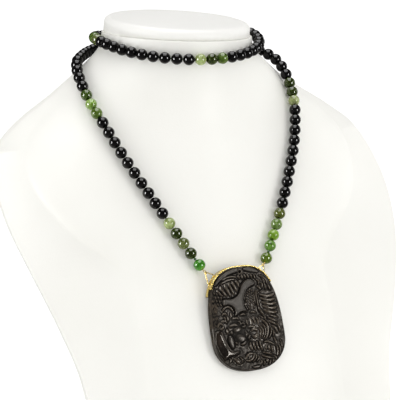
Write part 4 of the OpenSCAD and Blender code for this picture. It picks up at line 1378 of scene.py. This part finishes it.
# %% The bent strip
strip_w, strip_t, strip_gap, strip_behind, strip_end = 7, 0.6, 0.16, 1.8, 22.5
tab_w, tab_end, under_rope = 3.4, 18, 0.1
bar_sides, square_out, square_z = 16, 0.5, 0.3


def strip_point(angle, out):
    """Place at an angle round the plaque's top, at a distance out from its edge."""
    c, s = np.cos(angle), np.sin(angle)
    across = (np.abs(c) / (plaque_w / 2 + out)) ** round_up
    upward = (np.abs(s) / (plaque_up + out)) ** round_up
    r = (across + upward) ** (-1 / round_up)
    return np.stack([r * c, r * s + plaque_mid], axis=-1)


def angle_at(height, out):
    """The angle at which the strip is at a height, on the right."""
    angles = np.linspace(0, math.pi / 2, 2000)
    return float(np.interp(height, strip_point(angles, out)[:, 1], angles))


def squared(wave, power):
    """A sine or cosine with its crests broadened."""
    return np.sign(wave) * np.abs(wave) ** power


def bent_bar(near, far, z0, z1, start, stop, steps):
    """A bar with rounded corners that follows the outline from one angle to another."""
    corner = 2 * np.pi * np.arange(bar_sides) / bar_sides
    out = (near + far) / 2 + (far - near) / 2 * squared(np.sin(corner), square_out)
    z = (z0 + z1) / 2 + (z1 - z0) / 2 * squared(np.cos(corner), square_z)
    rings = []
    for angle in np.linspace(start, stop, steps):
        rings.append(np.column_stack([strip_point(np.full(bar_sides, angle), out), z]))
    return from_plaque(np.concatenate(rings)), ring_faces(steps, bar_sides)


rear, front, outer = -strip_behind, strip_w - strip_behind, strip_gap + strip_t
strip_low, tab_low = angle_at(strip_end, outer), angle_at(tab_end, outer)
strip = bent_bar(
    strip_gap, outer, rear + under_rope, front - under_rope, strip_low, math.pi - strip_low, steps=160)
print("strip bends through", round(math.degrees(math.pi - 2 * strip_low)), "degrees")

# %% [markdown]
# A rope edge is two wires twisted together and laid along the strip's edge, so `twisted` makes it too. The
# triangular loop is a closed tube whose corners are short curves. Its low and inner corners rest on the
# strip's rear rope, and its tip lies inside the gold coil at the end bead.

# %% Rope edges, bars and loops
rope_t, rope_w, rope_sunk, rope_points = 0.25, 0.9, 0.1, 300
bar_lap, bar_sunk, bar_proud = 0.03, 0.05, 0.1
loop_wire, loop_rise, loop_corner_r, loop_behind, loop_tip = 0.7, 0.2, 0.7, 1.2, (21.6, 34.3)
loop_inner_angle, loop_low_angle = math.radians(70.5), math.radians(61.5)
guard_wire, guard_d, guard_gap = 0.5, 3.2, 0.12


def edge_rope(z):
    """Two wires twisted along the strip, at one height above the plaque's back."""
    out = strip_gap + strip_t - rope_sunk
    low = angle_at(strip_end, out)
    angles = np.linspace(low, math.pi - low, rope_points)
    path = from_plaque(np.column_stack([strip_point(angles, out), np.full(rope_points, z)]))
    return twisted(path, strands=2, strand_radius=0.19, offset=0.17, pitch=1.9, spacing=0.12, sides=8)


def loop_corners(side):
    """Low and inner corners of a triangular loop on the strip, and its tip inside the gold coil."""
    bead_at = beads[0] if side > 0 else beads[-1]
    out = strip_gap + strip_t + rope_t + loop_rise * loop_wire
    low, inner = strip_point(np.array([loop_low_angle, loop_inner_angle]), out)
    low, inner, tip = from_plaque([[side * x, y, -loop_behind] for x, y in (low, inner, loop_tip)])
    reach = bead_d / 2 + guard_gap + (guard_d + guard_wire) / 2
    return np.array([low, inner, bead_at + unit(tip - bead_at) * reach])


def triangular_loop(side):
    """Round wire bent to a triangle with soft corners."""
    corners, path = loop_corners(side), []
    t = np.linspace(0, 1, 7)[:, None]
    for k in range(3):
        here, before, after = corners[k], corners[k - 1], corners[(k + 1) % 3]
        a = here + unit(before - here) * loop_corner_r
        b = here + unit(after - here) * loop_corner_r
        path.append((1 - t) ** 2 * a + 2 * t * (1 - t) * here + t**2 * b)
    flat = unit(np.cross(corners[1] - corners[0], corners[2] - corners[0]))
    return tube(np.concatenate(path), loop_wire / 2, 12, flat, closed=True)


ropes = [edge_rope(front - rope_w / 2), edge_rope(rear + rope_w / 2)]
near, far = strip_gap + bar_sunk, outer + rope_t + bar_proud
ends = ((tab_low, strip_low + bar_lap), (math.pi - strip_low - bar_lap, math.pi - tab_low))
bars = [bent_bar(near, far, rear - bar_proud, rear + tab_w, *pair, steps=24) for pair in ends]
loops = [triangular_loop(side) for side in (-1, 1)]
gold_parts = [strip, *ropes, *bars, *loops]
print("gold mount:", len(gold_parts), "parts")

# %% [markdown]
# Gold of this kind is a warm yellow, polished bright, with soft hairlines and smudges. Metal has no colour
# of its own apart from its reflection, so the base colour tints what it mirrors. Metallic stays a little
# under one, because fine scratches also scatter light as a matte thing does.

# %% Gold finish and the mount
deep_gold, bright_gold = (0.54, 0.4, 0.11, 1), (0.74, 0.6, 0.26, 1)

gold, tree, shader = new_material("polished_gold", Metallic=0.85)
marks = effect(tree, marks_group, object_place(tree), Size=0.8)
tint = mixed(tree, marks["Smudge"], deep_gold, bright_gold)
feed(tree, shader, Base_Color=tint, Roughness=between(tree, marks["Smudge"], 0.16, 0.27))
bumped(tree, shader, marks["Height"], 0.004)
make_piece("gold_mount", *joined(gold_parts), gold, "gold_cap", "gold")

# %% [markdown]
# ## Coils that guard the thread
#
# Bare thread would wear through on a gold loop. A stringer slips a tiny coil of gold wire over the thread
# where it turns round the loop. It looks like a ribbed ring whose two ends vanish into the bead's hole.
# Its line is a circle drawn out to a point at the hole, and the coil is a helix wound round that line.

# %% Gold coils
coil_wire_r, coil_pitch, coil_step, coil_points, coil_sides = 0.075, 0.17, 0.022, 240, 5
mouth_depth, drawn_power = 0.15, 9


def guard_coil(side):
    """A coil of fine wire from the bead's hole, round the loop's tip and back."""
    corners = loop_corners(side)
    k, next_k = (0, 1) if side > 0 else (-1, -2)
    mouth = beads[k] - unit(beads[next_k] - beads[k]) * (bead_d / 2 - mouth_depth)
    inward = unit(unit(corners[0] - corners[2]) + unit(corners[1] - corners[2]))
    flat = unit(np.cross(corners[0] - corners[2], corners[1] - corners[2]))
    turn = np.linspace(0, 2 * np.pi, coil_points, endpoint=False)
    ring = corners[2] + guard_d / 2 * (np.outer(-np.cos(turn), inward) + np.outer(np.sin(turn), flat))
    drawn = np.clip(np.cos(turn), 0, 1)[:, None] ** drawn_power
    line = evenly(np.vstack([ring + (mouth - ring) * drawn, ring[:1] + (mouth - ring[0])]), coil_step)
    tangents = path_tangents(line)
    normals = carried_normals(tangents)
    angle = (2 * np.pi * np.arange(len(line)) * coil_step / coil_pitch)[:, None]
    outwards = np.cos(angle) * normals + np.sin(angle) * np.cross(tangents, normals)
    helix = line + (guard_wire / 2 - coil_wire_r) * outwards
    return tube(helix, coil_wire_r, coil_sides, outwards)


for side, name in ((-1, "left"), (1, "right")):
    make_piece(f"gold_coil_{name}", *guard_coil(side), gold, f"wire_guard_{name}", "gold")

# %% [markdown]
# ## Sizes
#
# The last cell prints the size of the frame and the size of everything that shows.

# %% Sizes
looks_box = [list(corner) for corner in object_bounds()]
for name, (lowest, highest) in {"frame": cad_box, "looks": looks_box}.items():
    print(name, "size in mm:", [round((b - a) / MM, 1) for a, b in zip(lowest, highest)])
